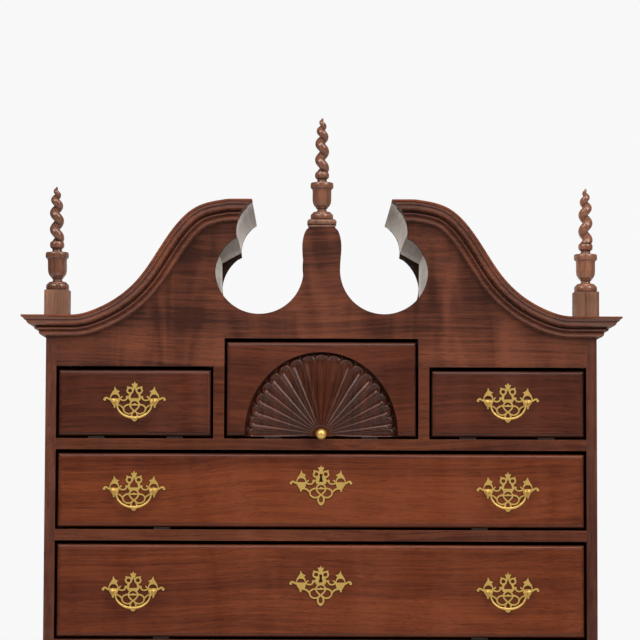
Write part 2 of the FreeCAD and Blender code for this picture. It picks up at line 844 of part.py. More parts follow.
def flame_ring(height, turn, ridge, groove):
    """Level section of the flame: a heart shape, its cleft turned by turn."""
    spots = []
    count = 16
    for index in range(count + 1):
        angle = 2 * math.pi * index / count - math.pi
        radius = groove + (ridge - groove) * abs(math.cos(angle / 2)) ** 0.7
        spots.append(Vector(radius * math.cos(angle + turn), radius * math.sin(angle + turn), height))
    curve = Part.BSplineCurve()
    curve.interpolate(spots)
    return Part.Wire(curve.toShape())


def flame(twist):
    """Ridge that winds up to a point; twist is +1 or -1."""
    foot = float(dim.flame_start)
    tall = float(dim.finial_height) - foot
    sunk = 3.0
    levels = 61
    rings = []
    for index in range(levels):
        share = index / (levels - 1.0)
        height = foot - sunk + (tall + sunk) * share
        turn = 2 * math.pi * float(dim.flame_turns) * (0.75 * share + 0.25 * share ** 5.5) * twist
        slim = (1 - share ** 5) ** 0.85
        ridge = float(dim.flame_ridge) * slim + 0.5
        groove = float(dim.flame_groove) * slim + 0.3
        rings.append(flame_ring(height, turn, ridge, groove))
    return Part.makeLoft(rings, True, False)


def urn_profile():
    """Turned lower part of a finial, as runs for turned()."""
    body = float(dim.urn_radius)
    rim = float(dim.urn_rim)
    base = float(dim.finial_base)
    neck = float(dim.flame_neck)
    bead = neck + 4.4
    bead_foot = float(dim.flame_start) - 11
    return [
        [(base - 1.6, 0), (base - 0.2, 3), (base, 6.2), (base - 0.8, 9.8), (base - 2.6, 12)],
        [(base - 2.6, 12), (base - 4.2, 12.2)],
        [(base - 4.2, 12.2), (base - 4.6, 13.8), (base - 6.4, 15.2)],
        [(base - 6.4, 15.2), (neck + 0.6, 15.8)],
        [(neck + 0.6, 15.8), (neck - 1, 17.6), (neck - 0.8, 20), (neck + 0.6, 22)],
        [(neck + 0.6, 22), (neck + 1.8, 22.2)],
        [(neck + 1.8, 22.2), (neck + 1.9, 23.8)],
        [(neck + 1.9, 23.8), (body - 5.2, 26.6), (body - 2.6, 30.8), (body - 0.6, 36), (body, 42),
         (body, 53)],
        [(body, 53), (body + 0.9, 53.2)],
        [(body + 0.9, 53.2), (body + 1.9, 57.6), (rim - 0.8, 62.2), (rim, 66.4)],
        [(rim, 66.4), (rim - 0.4, 68.6)],
        [(rim - 0.4, 68.6), (neck + 2.6, 69.4)],
        [(neck + 2.6, 69.4), (neck + 0.4, 71.4), (neck, 74.6), (neck + 0.4, bead_foot - 1.4),
         (neck + 2, bead_foot)],
        [(neck + 2, bead_foot), (bead - 0.7, bead_foot + 2.2), (bead, bead_foot + 5),
         (bead - 0.8, bead_foot + 8), (neck + 1, bead_foot + 10)],
    ]


def finial(name, x, y, z, twist):
    """Urn, flame and the dowel below, in one turned and carved piece."""
    radius = float(dim.dowel_radius)
    urn = turned(urn_profile(), Vector(0, 0, 0))
    dowel = Part.makeCylinder(radius, float(dim.dowel_length) + 2, Vector(0, 0, -float(dim.dowel_length)))
    body = urn.fuse([flame(twist), dowel])
    result = shaped(name, body)
    place(result, x, y, z)
    return result


# ---------------------------------------------------------------- drawer pieces

class Opening:
    """Where a drawer goes: its node's name, middle, foot, half width, height, face."""

    def __init__(self, name, middle, level, half, height, plane, style):
        self.name = name
        self.middle = Size.of(middle)
        self.level = level
        self.half = half
        self.height = height
        self.plane = plane
        self.style = style


short_half = (inner_half - divider_out) / 2
short_middle = (inner_half + divider_out) / 2
low_short_half = (low_inner - divider_out) / 2
low_short_middle = (low_inner + divider_out) / 2

UPPER_SHORT = (row_level, short_half, dim.short_height, front, "single")
LOWER_SHORT = (low_short, low_short_half, dim.low_short_height, low_front, "single")

OPENINGS = [
    Opening("upper_left_drawer", -short_middle, *UPPER_SHORT),
    Opening("upper_fan_drawer", 0, row_level, centre_half, dim.fan_height, front, "fan"),
    Opening("upper_right_drawer", short_middle, *UPPER_SHORT),
    Opening("long_drawer_1", 0, long_1, inner_half, dim.long_height_1, front, "pair"),
    Opening("long_drawer_2", 0, long_2, inner_half, dim.long_height_2, front, "pair"),
    Opening("long_drawer_3", 0, long_3, inner_half, dim.long_height_3, front, "pair"),
    Opening("lower_long_drawer", 0, low_long, low_inner, dim.low_long_height, low_front, "pair"),
    Opening("lower_left_drawer", -low_short_middle, *LOWER_SHORT),
    Opening("lower_fan_drawer", 0, low_centre, centre_half, dim.fan_height, low_front, "fan"),
    Opening("lower_right_drawer", low_short_middle, *LOWER_SHORT),
]


def front_sketch(body, name, width, height, lift, ahead):
    """Rectangle about the body's middle plane, lift above its foot, ahead of its back."""
    sketch = body.newObject("Sketcher::SketchObject", name)
    plane = [item for item in body.Origin.OriginFeatures if item.Role == "XZ_Plane"][0]
    sketch.AttachmentSupport = [(plane, "")]
    sketch.MapMode = "FlatFace"
    bind(sketch, "AttachmentOffset.Base.z", ahead)
    half, tall, foot = float(width) / 2, float(height), float(lift)
    corners = [(-half, foot), (half, foot), (half, foot + tall), (-half, foot + tall)]
    for index in range(4):
        start = Vector(corners[index][0], corners[index][1], 0)
        end = Vector(corners[(index + 1) % 4][0], corners[(index + 1) % 4][1], 0)
        sketch.addGeometry(Part.LineSegment(start, end), False)
    for index in range(4):
        sketch.addConstraint(Sketcher.Constraint("Coincident", index, 2, (index + 1) % 4, 1))
    sketch.addConstraint(Sketcher.Constraint("Horizontal", 2))
    for index in (1, 3):
        sketch.addConstraint(Sketcher.Constraint("Vertical", index))
    sketch.addConstraint(Sketcher.Constraint("Symmetric", 0, 1, 0, 2, -2))
    wide = sketch.addConstraint(Sketcher.Constraint("DistanceX", 0, 1, 0, 2, 2 * half))
    high = sketch.addConstraint(Sketcher.Constraint("DistanceY", 1, 1, 1, 2, tall))
    up = sketch.addConstraint(Sketcher.Constraint("DistanceY", -1, 1, 0, 1, foot))
    bind(sketch, "Constraints[%d]" % wide, width)
    bind(sketch, "Constraints[%d]" % high, height)
    bind(sketch, "Constraints[%d]" % up, lift)
    return sketch


def front_blank(opening):
    """Drawer front with a quarter-round edge and a raised field."""
    name = opening.name
    body = doc.addObject("PartDesign::Body", name + "_front")
    width = opening.half * 2 - dim.front_side_gap * 2
    height = opening.height - dim.front_top_gap - dim.front_bottom_gap
    thick = dim.front_thick - dim.thumb_step
    slab = body.newObject("PartDesign::Pad", name + "_slab")
    slab.Profile = front_sketch(body, name + "_outline", width, height, Size.of(0), Size.of(0))
    bind(slab, "Length", thick)
    doc.recompute()
    ahead = -float(thick)
    rim = [
        "Edge%d" % (index + 1)
        for index, edge in enumerate(slab.Shape.Edges)
        if all(abs(vertex.Y - ahead) < 1e-6 for vertex in edge.Vertexes)
    ]
    thumb = body.newObject("PartDesign::Fillet", name + "_thumb")
    thumb.Base = (slab, rim)
    bind(thumb, "Radius", dim.thumb_radius)
    field = body.newObject("PartDesign::Pad", name + "_field")
    inset = dim.thumb_radius
    field.Profile = front_sketch(
        body, name + "_field_outline", width - inset * 2, height - inset * 2, inset, thick - 1
    )
    bind(field, "Length", dim.thumb_step + 1)
    body.Tip = field
    place(body, opening.middle, opening.plane + dim.front_thick, opening.level + dim.front_bottom_gap)
    return body


def dovetails(opening):
    """Tails on both ends of both drawer sides, as one set of loose wedges."""
    bottom = float(opening.level + dim.front_bottom_gap)
    top = float(opening.level + opening.height - dim.drawer_side_drop)
    count = max(2, int((top - bottom) / float(dim.tail_pitch)))
    pitch = (top - bottom) / count
    half = float(dim.tail_width) / 2
    slope = float(dim.tail_slope)
    thick = float(dim.drawer_side_thick)
    outer = float(opening.half - dim.front_side_gap)
    face = float(opening.plane + dim.front_thick)
    rear = float(opening.plane + dim.drawer_length - dim.drawer_back_thick)
    ends = [
        (face, face - float(dim.tail_length)),
        (rear, rear + float(dim.drawer_back_thick)),
    ]
    tails = []
    for sign in (-1, 1):
        x = float(opening.middle) + sign * outer
        for index in range(count):
            z = bottom + pitch * (index + 0.5)
            for root, tip in ends:
                points = [
                    Vector(x, root, z - half + slope),
                    Vector(x, tip, z - half),
                    Vector(x, tip, z + half),
                    Vector(x, root, z + half - slope),
                ]
                wedge = Part.Face(Part.makePolygon(points + [points[0]]))
                tails.append(wedge.extrude(Vector(-sign * thick, 0, 0)))
    return Part.makeCompound(tails)


def pull_places(opening):
    """Middles of the bail pulls on a drawer front."""
    if opening.style == "single":
        return [(opening.middle, pull_level(opening))]
    if opening.style == "pair":
        offset = opening.half - dim.pull_inset
        return [(-offset, pull_level(opening)), (offset, pull_level(opening))]
    return []


def pull_level(opening):
    """Height of a pull's posts: the middle of the front, and a little up or down."""
    front_height = opening.height - dim.front_top_gap - dim.front_bottom_gap
    lift = dim.long_pull_lift if opening.style == "pair" else dim.pull_lift
    return opening.level + dim.front_bottom_gap + front_height / 2 + lift


def key_level(opening):
    """Height of an escutcheon's middle; it sits higher than the pulls beside it."""
    lift = dim.low_key_lift if opening.name == "lower_long_drawer" else dim.key_lift
    return pull_level(opening) + lift


def fan_centre(opening):
    return opening.middle, opening.level + dim.front_bottom_gap + dim.fan_rise


def rod_through(x, z, radius, y_from, y_to):
    length = float(y_to) - float(y_from)
    return Part.makeCylinder(float(radius), length, at(x, z, y_from), Vector(0, 1, 0))


def keyhole_shape(x, z, grow, y_from, y_to):
    """Round eye with a splayed slot below it; z is the plate's own middle."""
    eye = at(float(x), float(z) + 17.0)
    radius = 2.9 + grow
    foot = eye.z - 12 - grow
    points = [
        at(eye.x - 1.4 - grow, eye.z),
        at(eye.x - 3.8 - grow, foot),
        at(eye.x + 3.8 + grow, foot),
        at(eye.x + 1.4 + grow, eye.z),
    ]
    slot = Part.makePolygon(points + [points[0]])
    slot.translate(Vector(0, float(y_from), 0))
    splay = Part.Face(slot).extrude(Vector(0, float(y_to) - float(y_from), 0))
    return splay.fuse(rod_through(eye.x, eye.z, radius, y_from, y_to))


def front_bores(opening):
    """Holes through a drawer front for posts, a keyhole or the knob's screw."""
    y_from = float(opening.plane) - 1
    y_to = float(opening.plane + dim.front_thick) + 1
    radius = dim.bolt_radius + dim.bolt_gap
    bores = []
    for x, z in pull_places(opening):
        for sign in (-1, 1):
            bores.append(rod_through(x + dim.pull_spacing * sign / 2, z, radius, y_from, y_to))
    if opening.style == "pair":
        bores.append(keyhole_shape(0, key_level(opening), 0, y_from, y_to))
    if opening.style == "fan":
        x, z = fan_centre(opening)
        bores.append(rod_through(x, z, radius, y_from, y_to))
    return bores


def fan_reach(wide, tall, turn):
    """Distance from the fan's middle to an oval of that half width and height."""
    return 1 / math.hypot(math.cos(turn) / float(wide), math.sin(turn) / float(tall))


def fan_recess(opening):
    """Half-oval sinking that holds the carved fan."""
    x, z = fan_centre(opening)
    y_from = float(opening.plane) - 1
    y_to = float(opening.plane + dim.fan_depth)
    wide, tall = float(dim.fan_radius), float(dim.fan_tall)
    middle = at(float(x), float(z), y_from)
    oval = Part.Ellipse(middle + Vector(0, 0, tall), middle + Vector(wide, 0, 0), middle)
    disc = Part.Face(Part.Wire(oval.toShape())).extrude(Vector(0, y_to - y_from, 0))
    foot = float(opening.level)
    keep = Part.makeBox(3 * wide, 100, 2 * tall, Vector(float(x) - 1.5 * wide, y_from - 20, foot))
    return disc.common(keep)


HUB_RISE = 0.4


def fan_carving(opening):
    """Lobes that spring from the hub, each hollowed by a gouge."""
    x, z = fan_centre(opening)
    x, z = float(x), float(z)
    count = int(float(dim.lobe_count))
    step = math.pi / (count - 1)
    wide, tall = dim.lobe_reach, dim.lobe_tall
    shoulder = 0.945
    face = float(opening.plane + dim.lobe_inset)
    floor = float(opening.plane + dim.fan_depth)

    def spot(radius, turn):
        return at(x + radius * math.cos(turn), z + radius * math.sin(turn))

    def end_spot(share, turn):
        return spot(share * fan_reach(wide, tall, turn), turn)

    edges = []
    for index in range(count):
        turn = step * index
        start, end = end_spot(shoulder, turn - step / 2), end_spot(shoulder, turn + step / 2)
        edges.append(arc(start, end_spot(1, turn), end))
    edges.append(line(end_spot(shoulder, -step / 2), at(x, z)))
    edges.append(line(end_spot(shoulder, math.pi + step / 2), at(x, z)))
    slab = prism(edges, face, floor)
    foot = float(opening.level + dim.front_bottom_gap)
    reach = float(tall)
    trim = Part.makeBox(3 * reach, 100, 2 * reach, Vector(x - 1.5 * reach, face - 20, foot))
    slab = slab.common(trim)
    depth = float(dim.flute_depth)
    inner = float(dim.hub_radius) + 3
    gouges = []
    for index in range(count):
        turn = step * index
        outer = 0.913 * fan_reach(wide, tall, turn)
        chord = outer * math.tan(step / 2) * 0.9
        broad = (chord ** 2 + depth ** 2) / (2 * depth)
        slim = broad * inner / outer
        sink = depth * inner / outer
        start = spot(inner, turn) + Vector(0, face - (slim - sink), 0)
        end = spot(outer, turn) + Vector(0, face - (broad - depth), 0)
        along = end - start
        gouges.append(Part.makeCone(slim, broad, along.Length, start, along))
        gouges.append(Part.makeSphere(broad, end))
    lobes = slab.cut(gouges)
    hub = rod_through(x, z - dim.fan_rise, dim.hub_radius, face - HUB_RISE, floor).common(trim)
    return lobes.fuse(hub).removeSplitter()


def drawer(opening):
    """Front, two sides, back and bottom, dovetailed and grooved together."""
    name = opening.name
    gap = dim.front_side_gap
    foot = opening.level + dim.carcase_gap
    top = opening.level + opening.height - dim.drawer_side_drop
    face = opening.plane + dim.front_thick
    rear = opening.plane + dim.drawer_length - dim.drawer_back_thick
    left = opening.middle - opening.half + gap
    right = opening.middle + opening.half - gap
    thick = dim.drawer_side_thick
    panel_low = foot + dim.drawer_bottom_lift
    panel_top = panel_low + dim.drawer_bottom_thick
    panel = board(
        name + "_bottom",
        (left + thick - dim.groove_depth, right - thick + dim.groove_depth),
        (face - dim.groove_depth, rear + dim.drawer_back_thick),
        (panel_low, panel_top),
    )
    tails = shaped(name + "_tails", dovetails(opening))
    left_blank = board(name + "_left_board", (left, left + thick), (face, rear), (foot, top))
    right_blank = board(name + "_right_board", (right - thick, right), (face, rear), (foot, top))
    side_tails = {}
    for side, sign in (("left", -1), ("right", 1)):
        middle = float(opening.middle)
        own = [solid for solid in tails.Shape.Solids if sign * (solid.CenterOfMass.x - middle) > 0]
        side_tails[side] = shaped("%s_%s_tails" % (name, side), Part.makeCompound(own))
    sides = []
    for side, blank in (("left", left_blank), ("right", right_blank)):
        joined = fuse("%s_%s_joined" % (name, side), [blank, side_tails[side]])
        sides.append(cut("%s_%s_side" % (name, side), joined, [panel]))
    rear_board = board(
        name + "_rear_board", (left, right), (rear, rear + dim.drawer_back_thick), (panel_top, top)
    )
    rear_piece = cut(name + "_rear", rear_board, [tails])
    tools = [tails, panel, shaped(name + "_bores", Part.makeCompound(front_bores(opening)))]
    if opening.style == "fan":
        tools.append(shaped(name + "_recess", fan_recess(opening)))
    face_piece = cut(name + "_face", front_blank(opening), tools)
    if opening.style == "fan":
        x, z = fan_centre(opening)
        bore = rod_through(x, z, dim.bolt_radius + dim.bolt_gap, float(opening.plane) - 5, face)
        carving = shaped(name + "_carving", fan_carving(opening).cut(bore))
        face_piece = fuse(name + "_carved", [face_piece, carving])
    return [face_piece] + sides + [rear_piece, panel]


# ---------------------------------------------------------------------- brasses

# The pierced plate's right half: strokes of (width, points) about the post line.
PLATE_STROKES = [
    (2.8, [(0, 1.2), (6, -1.6), (8.6, -7.6), (6, -13.2), (0, -18.6)]),
    (2.8, [(8, -6.8), (14, -7.6), (19.6, -11.8), (20.4, -16), (17, -21.6), (11, -23.8), (4.5, -21.6)]),
    (3.2, [(0, -18.6), (4.8, -24), (5, -30), (0.8, -36.4)]),
    (3.0, [(20, -15), (23.4, -11), (27, -8.4), (31.6, -7.4)]),
    (2.6, [(29, 4.6), (24.4, 1.8), (19.2, 1), (15.2, 3.2), (14.2, 6.4)]),
    (2.6, [(27.4, 4.4), (23.6, 7.8)]),
    (3.2, [(45.6, 2.6), (48.6, 4.2), (52, 5.8), (55, 4.2)]),
    (3.4, [(37.6, -8), (37, -11.4)]),
    (2.6, [(0, -7.2), (8.4, -7.2)]),
    (2.6, [(10.6, 24), (13, 25.8)]),
    (3.0, [(0, 25), (3.4, 29.8)]),
]
PLATE_DISCS = [
    (55.2, 2.8, 2.5),
    (13.4, 6.8, 2.6),
    (0.0, -6.2, 2.0),
    (0.0, 27.6, 4.2),
    (3.8, 30.6, 1.7),
    (0.0, -35.2, 2.8),
]
ARCH_STROKES = [
    (4.2, [(2.5, 22), (6.6, 15.5), (9.2, 9), (9, 4.4), (5.4, 0.6)]),
    (4.4, [(0, 2.8), (7.4, 2.8)]),
]
RING_LOBE = (8.6, 19.2, 6.7, 3.6)
SIDE_BODY = [(46.8, 4.6), (43.6, -1.6), (39.2, -8.6), (35.4, -9.6), (30.2, -7.6), (27.6, 0), (27.4, 4.6)]
SIDE_CREST = [(46.2, 4.9), (43.5, 12.8), (38.2, 20.8), (36.9, 27), (33.8, 20.8), (27.2, 17.7), (30.5, 15.5),
              (27.5, 9), (27.4, 4.6)]
HALF_MOON = (36.4, 4.6, 7.4)
TIP_LEAF = [(2.4, 30.5), (0, 36)]
KEY_BODY = [(4, 24.5), (7.6, 15), (10.8, 8), (8.6, 1.4), (0, -0.6)]


def stroke(width, points, thick):
    """Flat band of one width along a smooth line, with round ends."""
    spots = [at(x, z) for x, z in points]
    curve = spline(spots) if len(spots) > 2 else Part.LineSegment(spots[0], spots[1])
    count = 3 * len(spots) if len(spots) > 2 else 2
    left, right = [], []
    first, last = curve.FirstParameter, curve.LastParameter
    for index in range(count):
        parameter = first + (last - first) * index / (count - 1)
        tangent = curve.tangent(parameter)[0]
        square = Vector(tangent.z, 0, -tangent.x) * (width / 2)
        left.append(curve.value(parameter) + square)
        right.append(curve.value(parameter) - square)
    if count > 2:
        sides = [spline(left).toShape(), spline(right).toShape()]
    else:
        sides = [line(*left), line(*right)]
    band = prism(sides + [line(left[0], right[0]), line(left[-1], right[-1])], -thick, 0)
    caps = [disc(spot.x, spot.z, width / 2, thick) for spot in (spots[0], spots[-1])]
    return [band] + caps


def disc(x, z, radius, thick):
    return rod_through(x, z, radius, -thick, 0)


def flat_polygon(points, thick):
    corners = [at(x, z) for x, z in points]
    edges = [line(corners[i], corners[(i + 1) % len(corners)]) for i in range(len(corners))]
    return prism(edges, -thick, 0)


def both_halves(shapes):
    twins = [shape.mirror(Vector(0, 0, 0), Vector(1, 0, 0)) for shape in shapes]
    return shapes + twins


def pierced_plate(with_keyhole):
    """Pierced back plate; with_keyhole makes it an escutcheon."""
    thick = float(dim.plate_thick)
    half = []
    strokes = PLATE_STROKES if with_keyhole else PLATE_STROKES + ARCH_STROKES
    for width, points in strokes:
        half += stroke(width, points, thick)
    half += [disc(x, z, radius, thick) for x, z, radius in PLATE_DISCS]
    x, z, outer, inner = RING_LOBE
    half.append(disc(x, z, outer, thick))
    half.append(flat_polygon(SIDE_BODY, thick))
    half.append(flat_polygon(SIDE_CREST, thick))
    half.append(flat_polygon([(0, 29), TIP_LEAF[0], TIP_LEAF[1]], thick))
    if with_keyhole:
        half.append(flat_polygon(KEY_BODY + [(0, 24.5)], thick))
    joined = half[0]
    for piece in half[1:]:
        joined = joined.fuse(piece)
    joined = joined.removeSplitter()
    plate = joined.fuse(joined.mirror(Vector(0, 0, 0), Vector(1, 0, 0)))
    x, z, outer, inner = RING_LOBE
    holes = [disc(x, z, inner, 3 * thick)]
    x, z, radius = HALF_MOON
    moon = disc(x, z, radius, 3 * thick)
    above = Part.makeBox(4 * radius, 20, 2 * radius, Vector(x - 2 * radius, -10, z))
    holes.append(moon.common(above))
    if not with_keyhole:
        holes.append(disc(float(dim.pull_spacing) / 2, 0, float(dim.bolt_radius + dim.bolt_gap), 3 * thick))
    holes = both_halves(holes)
    for hole in holes:
        hole.translate(Vector(0, thick, 0))
    if with_keyhole:
        holes.append(keyhole_shape(0, 0, 0, -2 * thick, thick))
    return plate.cut(holes).removeSplitter()


def pull_post(sign):
    """Bolt with a turned ball head that carries one end of a bail, and its nut."""
    x = sign * float(dim.pull_spacing) / 2
    reach = float(dim.plate_thick + dim.post_reach)
    ball = float(dim.post_ball)
    shank = float(dim.bolt_radius)
    inside = float(dim.front_thick)
    nut_thick = float(dim.nut_thick)
    bolt = rod_through(x, 0, shank, -reach, inside + nut_thick + 2)
    collar = Part.makeCone(4.4, 3.0, 2.4, at(x, 0, -float(dim.plate_thick)), Vector(0, -1, 0))
    head = Part.makeSphere(ball, at(x, 0, -reach))
    bore_radius = float(dim.pin_radius + dim.pin_gap)
    bore = Part.makeCylinder(bore_radius, ball + 2, at(x, 0, -reach), Vector(-sign, 0, 0))
    post = bolt.fuse([collar, head]).cut(bore)
    half = float(dim.nut_width) / 2
    nut = Part.makeBox(2 * half, nut_thick, 2 * half, Vector(x - half, inside, -half))
    nut = nut.cut(rod_through(x, 0, shank, inside - 1, inside + nut_thick + 1))
    return [post, nut]


def bail_shape():
    """Drop handle, thicker in the middle, with a pin turned outwards at each end."""
    half = float(dim.bail_width) / 2
    drop = float(dim.bail_drop)
    y = -float(dim.plate_thick + dim.post_reach)
    points = [
        at(-half, 0, y),
        at(-half - 0.4, -0.29 * drop, y),
        at(-half * 0.927, -0.535 * drop, y),
        at(-half * 0.73, -0.76 * drop, y),
        at(-half * 0.47, -0.916 * drop, y),
        at(0, -drop, y),
    ]
    points += [Vector(-point.x, point.y, point.z) for point in reversed(points[:-1])]
    curve = spline(points)
    sections = []
    for share, radius in ((0, dim.bail_wire), (0.3, dim.bail_wire * 1.1), (0.5, dim.bail_middle),
                          (0.7, dim.bail_wire * 1.1), (1, dim.bail_wire)):
        parameter = curve.FirstParameter + (curve.LastParameter - curve.FirstParameter) * share
        circle = Part.Circle(curve.value(parameter), curve.tangent(parameter)[0], float(radius))
        sections.append(Part.Wire(circle.toShape()))
    bow = Part.Wire(curve.toShape()).makePipeShell(sections, True, False)
    pieces = []
    for sign in (-1, 1):
        pieces.append(Part.makeSphere(float(dim.bail_wire) * 1.12, at(sign * half, 0, y)))
        length = float(dim.pull_spacing) / 2 - half - 0.4
        pieces.append(
            Part.makeCylinder(float(dim.pin_radius), length, at(sign * half, 0, y), Vector(sign, 0, 0))
        )
    return bow.fuse(pieces)


def moved(shape, x, y, z):
    copy = shape.copy()
    copy.translate(Vector(float(x), float(y), float(z)))
    return copy


def knob_shapes():
    """Ball knob on a short neck, its screw through the front and its nut."""
    radius = float(dim.knob_radius)
    reach = float(dim.knob_reach)
    inset = float(dim.lobe_inset) - HUB_RISE
    inside = float(dim.front_thick)
    nut_thick = float(dim.nut_thick)
    ball = Part.makeSphere(radius, at(0, 0, inset - reach))
    neck = Part.makeCone(6.2, 3.6, reach, at(0, 0, inset), Vector(0, -1, 0))
    screw = rod_through(0, 0, dim.bolt_radius, inset - reach, inside + nut_thick + 2)
    half = float(dim.knob_nut) / 2
    nut = Part.makeBox(2 * half, nut_thick, 2 * half, Vector(-half, inside, -half))
    nut = nut.cut(rod_through(0, 0, dim.bolt_radius, inside - 1, inside + nut_thick + 1))
    return [ball.fuse([neck, screw]), nut]


def lock_shape(z):
    """Half-mortised lock case on the inside of a long drawer's front."""
    wide, tall, thick = float(dim.lock_width), float(dim.lock_height), float(dim.lock_thick)
    inside = float(dim.front_thick)
    return Part.makeBox(wide, thick, tall, Vector(-wide / 2, inside, z + 17 - tall / 2))


def fixed_brass(opening, plate, escutcheon):
    """Everything of brass that stays still on one drawer."""
    pieces = []
    for x, z in pull_places(opening):
        for shape in [plate] + pull_post(-1) + pull_post(1):
            pieces.append(moved(shape, x, opening.plane, z))
    if opening.style == "pair":
        z = key_level(opening)
        pieces.append(moved(escutcheon, 0, opening.plane, z))
        pieces.append(moved(lock_shape(0.0), 0, opening.plane, z))
    if opening.style == "fan":
        x, z = fan_centre(opening)
        pieces += [moved(shape, x, opening.plane, z) for shape in knob_shapes()]
    return Part.makeCompound(pieces)


# ------------------------------------------------------------------- lower case

def leg_section(level, offset, half, power):
    """Closed smooth section between a circle (power 2) and a square."""
    points = []
    count = 16
    for index in range(count):
        turn = 2 * math.pi * (index + 0.5) / count
        c, s = math.cos(turn), math.sin(turn)
        x = half * math.copysign(abs(c) ** (2 / power), c)
        y = half * math.copysign(abs(s) ** (2 / power), s)
        points.append(Vector(offset + x, offset + y, level))
    curve = Part.BSplineCurve()
    curve.interpolate(points, PeriodicFlag=True)
    return Part.Wire(curve.toShape())


def leg_shape():
    """Front left leg: square post above, cabriole below. Drawn about the post's axis.

    Offsets grow inwards here, so a negative sway stands outside the case.
    """
    sway = -float(dim.leg_sway)
    post = float(dim.post_size)
    foot, ankle, knee = float(dim.foot_radius), float(dim.ankle_radius), float(dim.knee_radius)
    disc_top, ankle_level = float(dim.disc_height), float(dim.ankle_level)
    knee_level, join = float(dim.knee_level), float(dim.post_foot)
    shin = knee_level - ankle_level
    sections = [
        (disc_top, sway, foot * 0.84, 2.0),
        (disc_top + 5, sway, foot * 0.97, 2.0),
        (disc_top + 12, sway, foot, 2.0),
        (disc_top + 22, sway, foot * 0.86, 2.0),
        (disc_top + 34, sway * 1.1, foot * 0.63, 2.0),
        (disc_top + 50, sway * 1.2, ankle * 1.15, 2.0),
        (ankle_level, sway * 1.2, ankle, 2.1),
        (ankle_level + shin * 0.2, sway * 0.6, ankle * 1.06, 2.2),
        (ankle_level + shin * 0.45, sway * 0.1, ankle * 1.32, 2.4),
        (ankle_level + shin * 0.7, 0, ankle * 1.7, 2.6),
        (ankle_level + shin * 0.88, sway * 0.7, knee * 0.92, 2.9),
        (knee_level, sway, knee, 3.2),
        (knee_level + (join - knee_level) * 0.45, sway * 0.9, knee * 0.9, 3.4),
        (join + 5, 0, post / 2 - 0.6, 5.0),
    ]
    wires = [leg_section(level, offset, half, power) for level, offset, half, power in sections]
    turned_part = Part.makeLoft(wires, True, False)
    disc_part = Part.makeCylinder(float(dim.disc_radius), disc_top + 1, Vector(sway, sway, 0))
    tall = float(dim.stand_height) - join
    post_part = Part.makeBox(post, post, tall, Vector(-post / 2, -post / 2, join))
    return turned_part.fuse([disc_part, post_part])


def legs():
    """Four legs, mirrored so that each knee points out at its own corner."""
    front_left = shaped("front_left_carved", leg_shape())
    place(front_left, -(low_half - dim.post_size / 2), low_front + dim.post_size / 2, 0)
    rear_left = mirrored("rear_left_carved", front_left)
    rear_left.Normal = Vector(0, 1, 0)
    pieces = {
        "front_left_leg": front_left,
        "front_right_leg": mirrored("front_right_carved", front_left),
        "rear_left_leg": rear_left,
        "rear_right_leg": mirrored("rear_right_carved", rear_left),
    }
    return {name: node(name, [piece]) for name, piece in pieces.items()}


def low_side_board(name):
    """Lower case side between its posts, hollowed along its lower edge."""
    x_out, x_in = -float(low_half), -float(low_half - dim.low_side_thick)
    half = float(low_depth / 2 - dim.post_size)
    low, rise = float(dim.apron_low), float(dim.side_arch)
    bend = rise * 0.3
    high = low + rise
    top = float(dim.stand_height)
    shoulder = half - float(dim.block_width)

    def spot(y, z):
        return Vector(x_out, y, z)

    edges = [
        line(spot(-half, top), spot(half, top)),
        line(spot(half, top), spot(half, low)),
        line(spot(half, low), spot(shoulder, low)),
        arc(spot(shoulder, low), spot(shoulder - bend, high - bend), spot(shoulder - rise, high)),
        line(spot(shoulder - rise, high), spot(rise - shoulder, high)),
        arc(spot(-shoulder, low), spot(bend - shoulder, high - bend), spot(rise - shoulder, high)),
        line(spot(-shoulder, low), spot(-half, low)),
        line(spot(-half, low), spot(-half, top)),
    ]
    face = Part.Face(Part.Wire(Part.__sortEdges__(edges)))
    return shaped(name, face.extrude(Vector(x_in - x_out, 0, 0)))


def apron_shape():
    """Front apron: two flat arches, two lobes and a low middle, notched for the drawer."""
    half = float(low_inner)
    notch = float(centre_half)
    top, notch_top = float(low_short), float(low_centre)
    low, high = float(dim.apron_low), float(dim.apron_arch)
    lobe, middle = float(dim.apron_lobe), float(dim.apron_middle)
    rise = high - low
    bend = rise * 0.3
    block = float(dim.block_width)
    lobe_x = float(divider_out) - float(dim.divider_width) / 2
    lobe_half = (middle - lobe) * 1.1
    slope_x = lobe_x + lobe_half
    left = [
        line(at(0, notch_top), at(-notch, notch_top)),
        line(at(-notch, notch_top), at(-notch, top)),
        line(at(-notch, top), at(-half, top)),
        line(at(-half, top), at(-half, low)),
        line(at(-half, low), at(block - half, low)),
        arc(at(block - half, low), at(block - half + bend, high - bend), at(block - half + rise, high)),
        line(at(block - half + rise, high), at(-slope_x - rise, high)),
        arc(at(-slope_x - rise, high), at(-slope_x - rise * 0.3, high - rise * 0.3), at(-slope_x, middle)),
        arc(at(-slope_x, middle), at(-lobe_x, lobe), at(-lobe_x + lobe_half, middle)),
        line(at(-lobe_x + lobe_half, middle), at(0, middle)),
    ]
    right = [edge.mirror(Vector(0, 0, 0), Vector(1, 0, 0)) for edge in left]
    return prism(left + right, low_front, low_front + dim.apron_thick)


